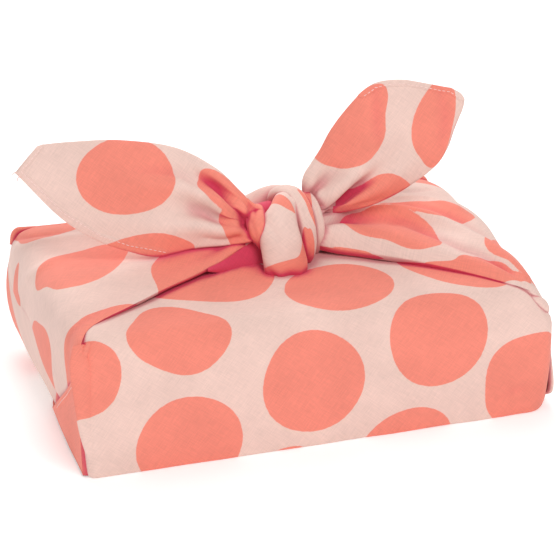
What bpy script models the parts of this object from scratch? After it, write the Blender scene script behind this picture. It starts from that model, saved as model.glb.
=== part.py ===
# Knotted cloth gift wrap: one square of printed cotton folded round a flat box and tied on top.
# Metres, +Z up. The origin is on the base plane at the middle of the body, +X along the length,
# -Y is the front. The cloth is one piece, so it is one closed solid.

import math

import bmesh
import bpy
import numpy as np

MM = 0.001
FRONT_TO_BACK = (0.0, 1.0, 0.0)
UPWARD = (0.0, 0.0, 1.0)
STEEP = 0.8

# Driving sizes
BODY_LEFT = -0.1235
BODY_RIGHT = 0.1270
BODY_FRONT = -0.0884
BODY_BACK = 0.0862
TOP_HEIGHT = 0.0740
SIDE_BULGE = 0.0012
CORNER_RADIUS = 0.0070
RIGHT_BASE_RADIUS = 0.0110
LEFT_BASE_TUCK = 0.0040
LEFT_TUCK_HEIGHT = 0.0160
LEFT_BASE_RADIUS = 0.0040
LEFT_END_SWELL = 0.0078
TOP_CROWN = 0.0030
TOP_DROP_RIGHT = 0.0050
TOP_RISE_LEFT = 0.0015
# The top corner nearest the right front is drawn in where the pull crosses it
CORNER_PINCH = 0.0120
PINCH_START = 0.0520
PINCH_ALONG, PINCH_ACROSS = 0.85, 0.3
BURY = 0.0100
KNOT_Y = -0.0060
KNOT_Z = 0.0920
KNOT_CORE_CENTRE = (-1, -5, 90)
KNOT_CORE_SIZE = (19, 16, 16)

# Surface of the solid
COTTON_COLOUR = (0.84, 0.44, 0.36, 1.0)
COTTON_ROUGHNESS = 0.9

# How the soft shapes run
TOP_ZONE = 1 / 3
DROP_START = 0.55
SWELL_START = 0.8
SWELL_REACH = 1.4
TUCK_FADE = 1.5
ARCH_POWER = 2.4
PLEAT_FULL_ROLL = 0.0036
FOLD_DEPTH_SHARE = 0.9
EDGE_POWER = 4
NECK_FOLDS = 2.5

# How finely each shape is cut
CORNER_STEPS = 4
CORE_LEVELS = 8
CORE_AROUND = 16
LENGTH_STEPS = 9
DEPTH_STEPS = 6
ROWS_PER_SPAN = 2
ARCH_POINTS = 17
UNDER_POINTS = 6
EAR_POINTS = 11
BAND_POINTS = 12

# Body outline from the base to the rim of the top.
# Height and inset in mm, bulge as a share of the side bulge, rounding as a share of the base radius
BODY_TABLE = [
    ("height", "bulge", "inset", "rounding"),
    (0.0, 0.0, 1.6, 1.0),
    (0.8, 0.0, 0.5, 1.0),
    (4.0, 0.1, 0.0, 0.7),
    (12.0, 0.5, 0.0, 0.2),
    (30.0, 1.0, 0.0, 0.0),
    (50.0, 0.8, 0.0, 0.0),
    (64.0, 0.2, 0.3, 0.0),
    (69.5, 0.0, 1.6, 0.1),
    (72.8, 0.0, 4.4, 0.2),
    (74.0, 0.0, 9.0, 0.3),
]
# Rings of the top inside the rim, as shares of the rim
TOP_RINGS = [0.88, 0.72, 0.54, 0.34, 0.16]

# The two pulls run from the ends up over the top to the knot. Each row is one section, from its front
# fold to its back fold. Lean turns the outward side from out of the end (0) to straight up (90).
# Columns: front fold x, y, z, back fold x, y, z, lean in degrees, rise, roll
LEFT_PULL = [
    (-118.0, -70, 0.6, -117.0, 72, 0.6, 0, 0.4, 1.0),
    (-121.0, -72, 8, -121.5, 76, 8, 0, 0.6, 1.2),
    (-124.5, -76, 30, -129.0, 77, 30, 0, 1.0, 1.5),
    (-125.4, -80, 55, -130.0, 77, 52, 10, 1.2, 1.6),
    (-124.5, -84.5, 69, -127.5, 76, 67, 42, 1.3, 1.8),
    (-118.5, -75.5, 74.6, -121.5, 73, 74.2, 72, 1.6, 2.2),
    (-109, -68, 76.2, -111, 70, 76.2, 86, 2.0, 2.4),
    (-94, -60, 77.8, -94, 65, 77.6, 90, 2.4, 2.3),
    (-72, -47, 80.0, -70, 50, 80.0, 90, 2.6, 2.4),
    (-54, -39, 82.2, -52, 34, 83.0, 90, 3.2, 2.8),
    (-38, -32, 85.0, -37, 18, 86.5, 90, 3.6, 3.4),
    (-26, -26, 88.0, -26, 6, 89.0, 90, 4.2, 4.2),
    (-14, -20, 90.0, -14, 0, 91.0, 90, 5.0, 4.6),
]
RIGHT_PULL = [
    (122.0, -68, 0.6, 121.0, 70, 0.6, 0, 0.6, 1.5),
    (129.5, -79, 5, 127.4, 76, 6, 0, 1.0, 2.0),
    (131.6, -83, 11, 128.4, 80, 16, 0, 1.2, 2.0),
    (128.6, -84, 32, 129.0, 81, 36, 0, 1.4, 2.0),
    (126.0, -84, 50, 129.0, 81, 58, 14, 1.4, 2.0),
    (123.0, -85, 60, 127.0, 81, 70, 40, 1.8, 2.2),
    (118.5, -87, 66.5, 122.0, 80, 75.4, 68, 4.0, 2.8),
    (111.5, -85, 70.8, 113, 76, 78.0, 82, 6.0, 3.0),
    (100, -76, 73.6, 98, 68, 80.4, 90, 7.0, 3.2),
    (79, -58, 76.6, 78, 53, 84.0, 90, 6.6, 3.4),
    (58, -43, 79.0, 58, 37, 87.0, 90, 6.8, 3.8),
    (40, -34, 81.0, 41, 23, 89.0, 90, 6.4, 4.2),
    (25, -28, 83.5, 27, 12, 90.5, 90, 6.4, 4.6),
    (12, -22, 87.0, 13, 4, 91.0, 90, 7.0, 4.8),
]
# Soft pleats that fan out from the knot: place across the pull (0 front, 1 back), height, width share
LEFT_PLEATS = [(0.30, 0.8, 0.16), (0.62, -1.0, 0.10), (0.80, 1.0, 0.10)]
RIGHT_PLEATS = [
    (0.16, 1.6, 0.13),
    (0.34, -2.2, 0.09),
    (0.52, 1.8, 0.12),
    (0.70, -1.4, 0.07),
    (0.84, 1.0, 0.09),
]

# The ears stand in their own planes: the side each faces, its tilt from upright, and its neck
LEFT_EAR_FACING = -10.0
LEFT_EAR_TILT = 30.0
LEFT_EAR_NECK = (-19.7, -20.0, 101.5)
RIGHT_EAR_FACING = -12.0
RIGHT_EAR_TILT = 20.0
RIGHT_EAR_NECK = (18.9, -9.0, 96.6)
# One row per section: the two edges in the plane, how far the middle bows out, thickness, neck folds
# Columns: top edge along and up, low edge along and up, bow, thickness, neck folds, all in mm
LEFT_EAR = [
    (12, 2, 12, -8, -4, 7, 0.0),
    (2.4, 10.4, 1.7, -11.8, -2, 9, 1.0),
    (-10.1, 22.6, -12.5, -13.2, 3, 8, 2.2),
    (-24, 34.8, -27.6, -13.6, 5, 6, 2.4),
    (-40.4, 42.0, -47.0, -16.8, 6, 5, 1.3),
    (-64.0, 45.6, -62.8, -12.9, 6, 4.4, 0.4),
    (-85.0, 45.9, -78, -7.0, 5, 3.8, 0.0),
    (-100.6, 45.4, -97.0, 6.6, 3.5, 3.2, 0.0),
    (-106.4, 44.2, -118.4, 30.8, 1.0, 2.6, 0.0),
]
RIGHT_EAR = [
    (-8, -3, 0, -11, -3, 10, 0.0),
    (-3.6, 0.2, 3.1, -5, -1, 10, 0.6),
    (-3.8, 9.2, 13.6, -0.2, 0, 9, 1.4),
    (-3.0, 18.6, 31.8, 2.9, 2, 7.5, 2.2),
    (3.2, 28.6, 49.8, 10.0, 4, 6, 2.2),
    (13.0, 43.9, 67.6, 22.0, 5, 5, 1.2),
    (21.7, 54.7, 75.6, 31.6, 4.5, 4.2, 0.4),
    (30.6, 64.2, 80.4, 43.2, 3.5, 3.6, 0.0),
    (36.8, 68.6, 85.6, 55.4, 2.4, 3.2, 0.0),
    (44.7, 70.0, 84.6, 61.0, 1.6, 2.8, 0.0),
    (54.0, 69.8, 79.0, 65.0, 1.0, 2.4, 0.0),
]

# The corner of the cloth on the left end, and the front panel's fold beside it (mm)
STRIP_FRONT, STRIP_BACK = -83.5, 6.0
STRIP_HEIGHT = 58.3
STRIP_RAISE = 2.0
STRIP_STEPS, STRIP_POINTS = 8, 6
STRIP_FOOT = 0.0008
STRIP_LEAST = 0.0020
STRIP_SLOPE = 1.5
STRIP_END_POWER = 6
STRIP_FOOT_SHARE = 0.6
# Columns: x, y, z, half width, half thickness, all in mm
ROLLS = {
    "front_left_fold": [
        (-116.2, -85.6, 1.9, 2.6, 1.6),
        (-117.2, -85.8, 6, 4.4, 2.0),
        (-121.0, -86.4, 25, 5.4, 2.1),
        (-123.8, -86.4, 48, 5.6, 2.2),
        (-124.8, -86.0, 62, 5.4, 2.4),
        (-124.5, -82.0, 71, 3.0, 2.4),
    ],
    "corner_tuck": [
        (-119.0, -83.6, 71.5, 1.6, 1.4),
        (-122.2, -85.0, 67.0, 2.0, 1.8),
        (-123.8, -83.6, 59.0, 1.6, 1.4),
    ],
    "right_gather_high": [
        (113.0, -84.0, 66.0, 2.0, 2.0),
        (118.8, -86.4, 63.5, 2.6, 2.2),
        (122.8, -84.8, 58.0, 2.6, 2.0),
        (124.2, -80.0, 52.0, 1.8, 1.8),
    ],
    "right_gather_low": [
        (118.0, -85.0, 59.0, 1.6, 1.6),
        (122.8, -86.0, 54.5, 2.2, 2.0),
        (125.2, -83.6, 48.0, 2.2, 2.0),
        (125.8, -79.0, 41.0, 1.6, 1.6),
    ],
    "back_left_tuck": [
        (-100.0, 79.0, 71.6, 1.4, 1.4),
        (-118.0, 80.0, 71.8, 2.0, 2.0),
        (-124.2, 80.3, 70.6, 2.6, 2.6),
        (-127.0, 78.0, 64.6, 2.0, 2.0),
    ],
    "back_right_tuck": [
        (114.0, 79.0, 73.0, 2.3, 2.3),
        (120.5, 81.0, 76.0, 2.6, 2.6),
        (125.0, 80.0, 70.0, 2.2, 2.2),
    ],
    "knot_back": [
        (-26, -2, 88, 8, 7),
        (-17, 8, 90.5, 10, 8),
        (-5, 12, 93.0, 11, 9),
        (7, 10, 97.0, 11, 8),
        (20, 2, 94, 9, 7),
    ],
}

# The knot is bands of cloth turned round it. Turn is measured from the top towards the front.
# Columns: turn in degrees, then x, radius, half width and half thickness in mm
KNOT_BANDS = {
    "main_lobe": [
        (-40, 9, 12, 5, 4),
        (0, 5.5, 13.5, 5.5, 5),
        (35, 2.5, 18.5, 8, 6),
        (55, -1.8, 20, 10, 6.5),
        (75, -4.5, 22, 11.2, 7.2),
        (95, -4, 26, 11.8, 8),
        (112, -3.5, 32, 12, 7),
        (124, -3, 33, 11, 5),
        (142, -2, 28, 8, 4),
    ],
    "second_band": [
        (-50, 5, 14, 6, 5),
        (-15, 5, 15.5, 6, 5),
        (20, 7.5, 19.2, 6, 4.6),
        (50, 9.8, 20.5, 5.4, 4.6),
        (80, 10.8, 22, 4.8, 4.4),
        (105, 11.0, 24, 4.4, 4.0),
        (125, 10, 24, 4.2, 3.8),
        (150, 7, 20, 4, 3.5),
    ],
    "right_collar": [
        (-60, 15, 11, 5, 4),
        (0, 17, 13, 4.6, 4),
        (45, 18.4, 14, 4.0, 4),
        (90, 18.6, 16.5, 3.8, 4.2),
        (130, 17, 17, 4.0, 4),
        (170, 15, 14, 4, 4),
    ],
    "left_collar": [
        (-60, -10, 4, 5, 4),
        (-10, -11, 7, 5, 4),
        (35, -13.5, 14, 5, 4.6),
        (62, -15.8, 20, 5.4, 5.4),
        (85, -15.0, 20, 5.0, 5),
        (105, -11.5, 17, 4.4, 4),
        (135, -8, 11, 4, 3),
    ],
}


def smooth_rows(rows, per_span):
    """Rows of a table with more rows put between them along a smooth curve."""
    table = np.array(rows, float)
    ends = np.vstack([2 * table[0] - table[1], table, 2 * table[-1] - table[-2]])
    out = []
    for i in range(len(table) - 1):
        before, here, there, after = ends[i : i + 4]
        for k in range(per_span):
            t = k / per_span
            out.append(
                0.5
                * (
                    2 * here
                    + (there - before) * t
                    + (2 * before - 5 * here + 4 * there - after) * t**2
                    + (3 * here - before - 3 * there + after) * t**3
                )
            )
    out.append(table[-1])
    return np.array(out)


def closed_loft(name, rings, material):
    """A closed solid through rings of points, with a fan at each end."""
    mesh = bmesh.new()
    rows = [[mesh.verts.new(point) for point in ring] for ring in rings]
    count = len(rows[0])
    for low, high in zip(rows, rows[1:]):
        for i in range(count):
            j = (i + 1) % count
            mesh.faces.new((low[i], low[j], high[j], high[i]))
    for row, turned in ((rows[0], True), (rows[-1], False)):
        middle = mesh.verts.new(np.mean([vert.co for vert in row], axis=0))
        for i in range(count):
            j = (i + 1) % count
            mesh.faces.new((middle, row[j], row[i]) if turned else (middle, row[i], row[j]))
    bmesh.ops.triangulate(mesh, faces=mesh.faces)
    bmesh.ops.recalc_face_normals(mesh, faces=mesh.faces)
    if mesh.calc_volume(signed=True) < 0:
        bmesh.ops.reverse_faces(mesh, faces=mesh.faces)
    data = bpy.data.meshes.new(name)
    mesh.to_mesh(data)
    mesh.free()
    data.materials.append(material)
    return bpy.data.objects.new(name, data)


def outline(grow, rounding):
    """A rounded rectangle round the body, as points in order. Each corner has its own radius."""
    right, left = BODY_RIGHT + grow, BODY_LEFT - grow
    back, front = BODY_BACK + grow, BODY_FRONT - grow
    corners = (
        (right, back, 1, 1, RIGHT_BASE_RADIUS, 0),
        (left, back, -1, 1, RIGHT_BASE_RADIUS, 90),
        (left, front, -1, -1, LEFT_BASE_RADIUS, 180),
        (right, front, 1, -1, RIGHT_BASE_RADIUS, 270),
    )
    arcs = []
    for x, y, side_x, side_y, base_radius, start in corners:
        radius = CORNER_RADIUS + (base_radius - CORNER_RADIUS) * rounding
        arc = []
        for step in range(CORNER_STEPS + 1):
            angle = math.radians(start + 90 * step / CORNER_STEPS)
            arc.append((x + radius * (math.cos(angle) - side_x), y + radius * (math.sin(angle) - side_y)))
        arcs.append(arc)
    points = []
    for number, arc in enumerate(arcs):
        points += arc
        (x0, y0), (x1, y1) = arc[-1], arcs[(number + 1) % 4][0]
        steps = LENGTH_STEPS if number % 2 == 0 else DEPTH_STEPS
        points += [(x0 + (x1 - x0) * k / steps, y0 + (y1 - y0) * k / steps) for k in range(1, steps)]
    return points


def settled(x, y, z):
    """A point of the body once the cloth has settled: crowned top, soft right end, swollen left end."""
    along = x / BODY_RIGHT
    across = y / BODY_BACK
    near_top = max(0.0, min(1.0, 1 - (1 - z / TOP_HEIGHT) / TOP_ZONE)) ** 2
    crown = TOP_CROWN * max(0.0, 1 - along**2) * max(0.0, 1 - across**2)
    nearer_front = (1 - across) / 2
    drop = TOP_DROP_RIGHT * max(0.0, (along - DROP_START) / (1 - DROP_START)) ** 2 * nearer_front
    lift = TOP_RISE_LEFT * max(0.0, -along) * nearer_front
    swell = max(0.0, (-along - SWELL_START) / (1 - SWELL_START))
    swell *= min(1.0, max(0.0, (across + 1) / SWELL_REACH))
    belly = math.sin(math.pi * min(1.0, z / TOP_HEIGHT))
    tuck = LEFT_BASE_TUCK * swell * max(0.0, 1 - z / LEFT_TUCK_HEIGHT) ** TUCK_FADE
    pinch = CORNER_PINCH * min(1.0, max(0.0, (z - PINCH_START) / (TOP_HEIGHT - PINCH_START)))
    pinch *= max(0.0, (along - PINCH_ALONG) / (1 - PINCH_ALONG))
    pinch *= max(0.0, (-across - PINCH_ACROSS) / (1 - PINCH_ACROSS))
    return (x - LEFT_END_SWELL * swell * belly + tuck - pinch, y, z + near_top * (crown - drop + lift))


def body_rings():
    """Rings round the body from the base up, then in over the top."""
    rings = []
    for height, bulge, inset, rounding in BODY_TABLE[1:]:
        grow = SIDE_BULGE * bulge - inset * MM
        rings.append([settled(x, y, height * MM) for x, y in outline(grow, rounding)])
    for share in TOP_RINGS:
        rings.append([settled(x * share, y * share, TOP_HEIGHT) for x, y, _ in rings[len(BODY_TABLE) - 2]])
    return rings


def left_face(y, z):
    """How far out the left end of the body is at this place."""
    return settled(BODY_LEFT, y, z)[0]


def strip_rings():
    """The corner of the cloth that lies flat on the left end: a low triangle with its hem on the slope."""
    rings = []
    for step in range(STRIP_STEPS + 1):
        share = step / STRIP_STEPS
        y = (STRIP_FRONT + (STRIP_BACK - STRIP_FRONT) * share) * MM
        hem = max(STRIP_LEAST, STRIP_HEIGHT * MM * (1 - share) ** STRIP_SLOPE)
        raised = STRIP_RAISE * MM * (1 + share) * (1 - share**STRIP_END_POWER)
        ring = []
        for k in range(STRIP_POINTS):
            z = STRIP_FOOT + (hem - STRIP_FOOT) * k / (STRIP_POINTS - 1)
            ring.append((left_face(y, z) - raised * (1 if k else STRIP_FOOT_SHARE), y, z))
        ring.append((left_face(y, hem) + BURY / 2, y, hem))
        ring.append((left_face(y, STRIP_FOOT) + BURY / 2, y, STRIP_FOOT))
        rings.append(ring)
    return rings


def roll_rings(rows):
    """A roll of cloth along a path: ovals set square to the path. Rows are x, y, z, wide, thick in mm."""
    table = smooth_rows(rows, ROWS_PER_SPAN)
    rings = []
    for number, (x, y, z, wide, thick) in enumerate(table):
        after = table[min(number + 1, len(table) - 1)][:3]
        before = table[max(number - 1, 0)][:3]
        tangent = (after - before) / np.linalg.norm(after - before)
        side = np.cross(tangent, FRONT_TO_BACK if abs(tangent[1]) < STEEP else UPWARD)
        side /= np.linalg.norm(side)
        other = np.cross(side, tangent)
        ring = []
        for k in range(BAND_POINTS):
            spin = 2 * math.pi * k / BAND_POINTS
            oval = side * wide * math.cos(spin) + other * thick * math.sin(spin)
            ring.append((np.array((x, y, z)) + oval) * MM)
        rings.append(ring)
    return rings


def pull_rings(table, pleats, side):
    """Sections of one pull: an arch with pleats from fold to fold, rolled under at both folds."""
    rings = []
    for row in smooth_rows(table, ROWS_PER_SPAN):
        front = row[0:3] * MM
        back = row[3:6] * MM
        lean = math.radians(row[6])
        rise, roll = row[7] * MM, row[8] * MM
        out = np.array([side * math.cos(lean), 0.0, math.sin(lean)])
        across = back - front
        ring = []
        for k in range(ARCH_POINTS):
            place = (1 - math.cos(math.pi * k / (ARCH_POINTS - 1))) / 2
            from_middle = abs(2 * place - 1)
            arch = rise * (1 - from_middle**ARCH_POWER) + roll * math.sqrt(max(0.0, 1 - from_middle**2))
            ripple = sum(
                height * MM * math.exp(-(((place - middle) / width) ** 2)) for middle, height, width in pleats
            )
            ripple *= min(1.0, roll / PLEAT_FULL_ROLL) * math.sqrt(math.sin(math.pi * place))
            ring.append(front + across * place + out * (arch + ripple))
        for k in range(UNDER_POINTS):
            share = (k + 1) / (UNDER_POINTS + 1)
            inward = roll * FOLD_DEPTH_SHARE + (BURY + rise + roll) * math.sin(math.pi * share)
            ring.append(front + across * (1 - share) - out * inward)
        rings.append(ring)
    return rings


def ear_rings(table, facing, tilt, neck):
    """Sections of one ear: two edges in its plane, a bowed and folded middle, rounded at both edges."""
    turn, lean = math.radians(facing), math.radians(tilt)
    along = np.array([math.cos(turn), math.sin(turn), 0.0])
    up = np.array([-math.sin(turn) * math.sin(lean), math.cos(turn) * math.sin(lean), math.cos(lean)])
    face = np.array([math.sin(turn) * math.cos(lean), -math.cos(turn) * math.cos(lean), math.sin(lean)])
    rings = []
    for row in smooth_rows(table, ROWS_PER_SPAN) * MM:
        top = along * row[0] + up * row[1]
        low = along * row[2] + up * row[3]
        bow, thick, fold = row[4:7]
        ring = []
        for near_side in (1, -1):
            for k in range(EAR_POINTS):
                if near_side < 0 and k in (0, EAR_POINTS - 1):
                    continue
                share = k / (EAR_POINTS - 1)
                share = share if near_side > 0 else 1 - share
                place = (1 - math.cos(math.pi * share)) / 2
                edge = math.sqrt(max(0.0, 1 - (2 * place - 1) ** EDGE_POWER))
                bend = bow * (1 - (2 * place - 1) ** 2)
                folds = fold * math.cos(2 * NECK_FOLDS * math.pi * place) * math.sin(math.pi * place)
                offset = bend + folds * (near_side > 0) + near_side * thick / 2 * edge
                ring.append(np.array(neck) * MM + top + (low - top) * place + face * offset)
        rings.append(ring)
    return rings


def band_rings(table):
    """Sections of one band of the knot: ovals set square to its path round the knot."""
    rings = []
    for turn, x, radius, half_width, half_thick in smooth_rows(table, ROWS_PER_SPAN):
        angle = math.radians(turn)
        outward = np.array([0.0, -math.sin(angle), math.cos(angle)])
        centre = np.array([x * MM, KNOT_Y, KNOT_Z]) + outward * radius * MM
        ring = []
        for k in range(BAND_POINTS):
            spin = 2 * math.pi * k / BAND_POINTS
            wide = half_width * MM * math.cos(spin)
            thick = half_thick * MM * math.sin(spin)
            ring.append(centre + np.array([1.0, 0.0, 0.0]) * wide + outward * thick)
        rings.append(ring)
    return rings


def core_rings():
    """An oval lump that fills the middle of the knot."""
    rings = []
    for level in range(1, CORE_LEVELS):
        climb = math.pi * level / CORE_LEVELS
        ring = []
        for k in range(CORE_AROUND):
            spin = 2 * math.pi * k / CORE_AROUND
            direction = (math.sin(climb) * math.cos(spin), math.sin(climb) * math.sin(spin), -math.cos(climb))
            ring.append([(c + s * d) * MM for c, s, d in zip(KNOT_CORE_CENTRE, KNOT_CORE_SIZE, direction)])
        rings.append(ring)
    return rings


def fabric_material():
    material = bpy.data.materials.new("printed_cotton")
    material.use_nodes = True
    shader = material.node_tree.nodes["Principled BSDF"]
    shader.inputs["Base Color"].default_value = COTTON_COLOUR
    shader.inputs["Roughness"].default_value = COTTON_ROUGHNESS
    return material


def joined(first, others, cutters):
    """Unions the others into the first solid."""
    for other in others:
        cutters.objects.link(other)
        other.hide_render = True
        other.display_type = "WIRE"
        modifier = first.modifiers.new("join_" + other.name, "BOOLEAN")
        modifier.operation = "UNION"
        modifier.solver = "EXACT"
        modifier.object = other


def main():
    for item in list(bpy.data.objects):
        bpy.data.objects.remove(item, do_unlink=True)
    part = bpy.data.collections.new("fabric_gift_wrap")
    cutters = bpy.data.collections.new("joining_shapes")
    bpy.context.scene.collection.children.link(part)
    bpy.context.scene.collection.children.link(cutters)
    cutters.hide_render = True
    cotton = fabric_material()

    cloth = closed_loft("wrap_cloth", body_rings(), cotton)
    part.objects.link(cloth)
    left_ear = ear_rings(LEFT_EAR, LEFT_EAR_FACING, LEFT_EAR_TILT, LEFT_EAR_NECK)
    right_ear = ear_rings(RIGHT_EAR, RIGHT_EAR_FACING, RIGHT_EAR_TILT, RIGHT_EAR_NECK)
    others = [
        closed_loft("left_pull", pull_rings(LEFT_PULL, LEFT_PLEATS, -1), cotton),
        closed_loft("right_pull", pull_rings(RIGHT_PULL, RIGHT_PLEATS, 1), cotton),
        closed_loft("left_ear", left_ear, cotton),
        closed_loft("right_ear", right_ear, cotton),
        closed_loft("knot_core", core_rings(), cotton),
        closed_loft("end_strip", strip_rings(), cotton),
    ]
    others += [closed_loft(name, roll_rings(rows), cotton) for name, rows in ROLLS.items()]
    others += [closed_loft(name, band_rings(rows), cotton) for name, rows in KNOT_BANDS.items()]
    joined(cloth, others, cutters)


main()
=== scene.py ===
# %% [markdown]
# # A knotted gift wrap of spotted cotton
# One square of cotton, 70 cm a side, goes round a flat box. Two corners cover the top, the other two are
# pulled up over the ends and tied in one knot, and their tips stand out like ears.
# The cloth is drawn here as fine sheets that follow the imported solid. Every sheet carries its own flat
# "print place" in metres, so that dots, folds, hems and weave can all be laid out as on a cutting table.

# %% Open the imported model
import math

import bpy
import numpy as np
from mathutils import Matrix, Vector
from mathutils.bvhtree import BVHTree


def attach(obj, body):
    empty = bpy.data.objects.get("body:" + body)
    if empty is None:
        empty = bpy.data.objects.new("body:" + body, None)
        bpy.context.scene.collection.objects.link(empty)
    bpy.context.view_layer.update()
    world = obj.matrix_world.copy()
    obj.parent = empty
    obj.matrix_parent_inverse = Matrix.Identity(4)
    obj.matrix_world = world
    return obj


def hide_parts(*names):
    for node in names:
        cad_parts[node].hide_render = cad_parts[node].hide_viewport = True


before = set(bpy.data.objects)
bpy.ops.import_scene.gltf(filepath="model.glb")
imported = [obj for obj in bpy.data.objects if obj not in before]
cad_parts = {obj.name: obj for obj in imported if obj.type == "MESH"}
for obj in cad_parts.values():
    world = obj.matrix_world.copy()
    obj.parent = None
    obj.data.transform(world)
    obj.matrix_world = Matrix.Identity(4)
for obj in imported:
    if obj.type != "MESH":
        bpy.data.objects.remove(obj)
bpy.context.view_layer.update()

# %% [markdown]
# ## Camera, floor and light
# The wrap was photographed from a little above, with a long lens, turned so that its left end shows.
# Light is broad and even, as in a white photo tent, so shadows stay soft and warm inside the folds, where
# the cloth's colour is also painted darker and redder.

# %% Camera at the photo's angle
def add_object(name, data):
    """A new object in the scene, at the origin until it is placed."""
    made = bpy.data.objects.new(name, data)
    bpy.context.scene.collection.objects.link(made)
    return made


AZIMUTH, ELEVATION = math.radians(-18.2), math.radians(22.1)
CAMERA_AWAY = 1.0
CAMERA_LENS = 117.84
LOOK_AT = Vector((0.005, 0.0, 0.0568))

camera_data = bpy.data.cameras.new("view_camera")
camera_data.lens = CAMERA_LENS
camera_data.sensor_width = 36.0
camera_data.dof.use_dof = False
camera = add_object("view_camera", camera_data)
towards_camera = Vector(
    (
        math.sin(AZIMUTH) * math.cos(ELEVATION),
        -math.cos(AZIMUTH) * math.cos(ELEVATION),
        math.sin(ELEVATION),
    )
)
camera.location = LOOK_AT + towards_camera * CAMERA_AWAY
camera.rotation_mode = "QUATERNION"
camera.rotation_quaternion = (-towards_camera).to_track_quat("-Z", "Y")
bpy.context.scene.camera = camera
print("camera at", [round(v, 3) for v in camera.location])

# %% [markdown]
# The floor is white paper that glows a little, so that the picture's ground comes out white. A tent could
# be built round the scene, but wide area lights give the same soft edges: one in front, one at the left,
# one above, and one on the far floor.

# %% Pale floor and soft lights
FLOOR_HALF = 3.0
FLOOR_COLOUR = (0.93, 0.93, 0.93, 1.0)
FLOOR_GLOW = 0.25
SKY_COLOUR, SKY_STRENGTH = (1.0, 0.99, 0.98, 1.0), 0.33


def fill(made, values):
    """Sets inputs of a node by their names."""
    for label, value in values.items():
        made.inputs[label].default_value = value


def plain_material(name, colour, roughness):
    material = bpy.data.materials.new(name)
    material.use_nodes = True
    shader = material.node_tree.nodes["Principled BSDF"]
    fill(shader, {"Base Color": colour, "Roughness": roughness})
    return material


floor_paper = plain_material("floor_paper", FLOOR_COLOUR, 0.9)
floor_shader = floor_paper.node_tree.nodes["Principled BSDF"]
fill(floor_shader, {"Emission Color": (1.0, 1.0, 1.0, 1.0), "Emission Strength": FLOOR_GLOW})
floor_mesh = bpy.data.meshes.new("studio_floor")
corners = [(x * FLOOR_HALF, y * FLOOR_HALF, 0.0) for x, y in ((-1, -1), (1, -1), (1, 1), (-1, 1))]
floor_mesh.from_pydata(corners, [], [(0, 1, 2, 3)])
floor_mesh.materials.append(floor_paper)
floor = add_object("studio_floor", floor_mesh)

world = bpy.data.worlds.new("white_tent")
world.use_nodes = True
fill(world.node_tree.nodes["Background"], {"Color": SKY_COLOUR, "Strength": SKY_STRENGTH})
bpy.context.scene.world = world
bpy.context.scene.view_settings.view_transform = "Standard"

LIGHTS = {
    # name: (place, width, watts)
    "key_light": ((0.25, -1.2, 1.5), 0.8, 14.8),
    "fill_light": ((-1.3, -0.9, 0.9), 1.2, 6.0),
    "top_light": ((0.2, 0.6, 1.6), 1.2, 7.5),
    "backdrop_light": ((0.0, 3.2, 1.6), 2.4, 80.0),
}
for name, (place, width, watts) in LIGHTS.items():
    light_data = bpy.data.lights.new(name, "AREA")
    light_data.size = width
    light_data.energy = watts
    light = add_object(name, light_data)
    light.location = place
    light.rotation_mode = "QUATERNION"
    aim = LOOK_AT if name != "backdrop_light" else Vector((0.0, 2.6, 0.0))
    light.rotation_quaternion = (aim - light.location).to_track_quat("-Z", "Y")
print(len(LIGHTS), "lights")

# %% [markdown]
# ## Sizes
# These are the same sizes and section tables that the solid was lofted from. Tables are in millimetres, and
# of the single lengths in this section those under one are in metres. The sheets are cut finely through them.
# The body is a stack of rounded rectangles, one for each row, because a soft box changes little going up.

# %% Sizes of the body
MM = 0.001
BODY_LEFT, BODY_RIGHT = -0.1235, 0.1270
BODY_FRONT, BODY_BACK = -0.0884, 0.0862
TOP_HEIGHT = 0.0740
SIDE_BULGE = 0.0012
CORNER_RADIUS = 0.0070
RIGHT_BASE_RADIUS, LEFT_BASE_RADIUS = 0.0110, 0.0040
LEFT_BASE_TUCK, LEFT_TUCK_HEIGHT, TUCK_FADE = 0.0040, 0.0160, 1.5
LEFT_END_SWELL, SWELL_START, SWELL_REACH = 0.0078, 0.8, 1.4
TOP_CROWN, TOP_DROP_RIGHT, TOP_RISE_LEFT = 0.0030, 0.0050, 0.0015
TOP_ZONE, DROP_START = 1 / 3, 0.55
CORNER_PINCH, PINCH_START = 0.0120, 0.0520
PINCH_ALONG, PINCH_ACROSS = 0.85, 0.3
KNOT_Y, KNOT_Z = -0.0060, 0.0920

# height, bulge (share), inset, rounding (share)
BODY_TABLE = [
    (0.0, 0.0, 1.6, 1.0),
    (0.8, 0.0, 0.5, 1.0),
    (4.0, 0.1, 0.0, 0.7),
    (12.0, 0.5, 0.0, 0.2),
    (30.0, 1.0, 0.0, 0.0),
    (50.0, 0.8, 0.0, 0.0),
    (64.0, 0.2, 0.3, 0.0),
    (69.5, 0.0, 1.6, 0.1),
    (72.8, 0.0, 4.4, 0.2),
    (74.0, 0.0, 9.0, 0.3),
]

print(len(BODY_TABLE), "rows for the body")

# %% [markdown]
# A pull is a whole end of the cloth, drawn up over the end of the box to the knot. Cloth could be simulated,
# but its folds would fall where they liked. Each section here says where the front and the back fold lie.

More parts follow.
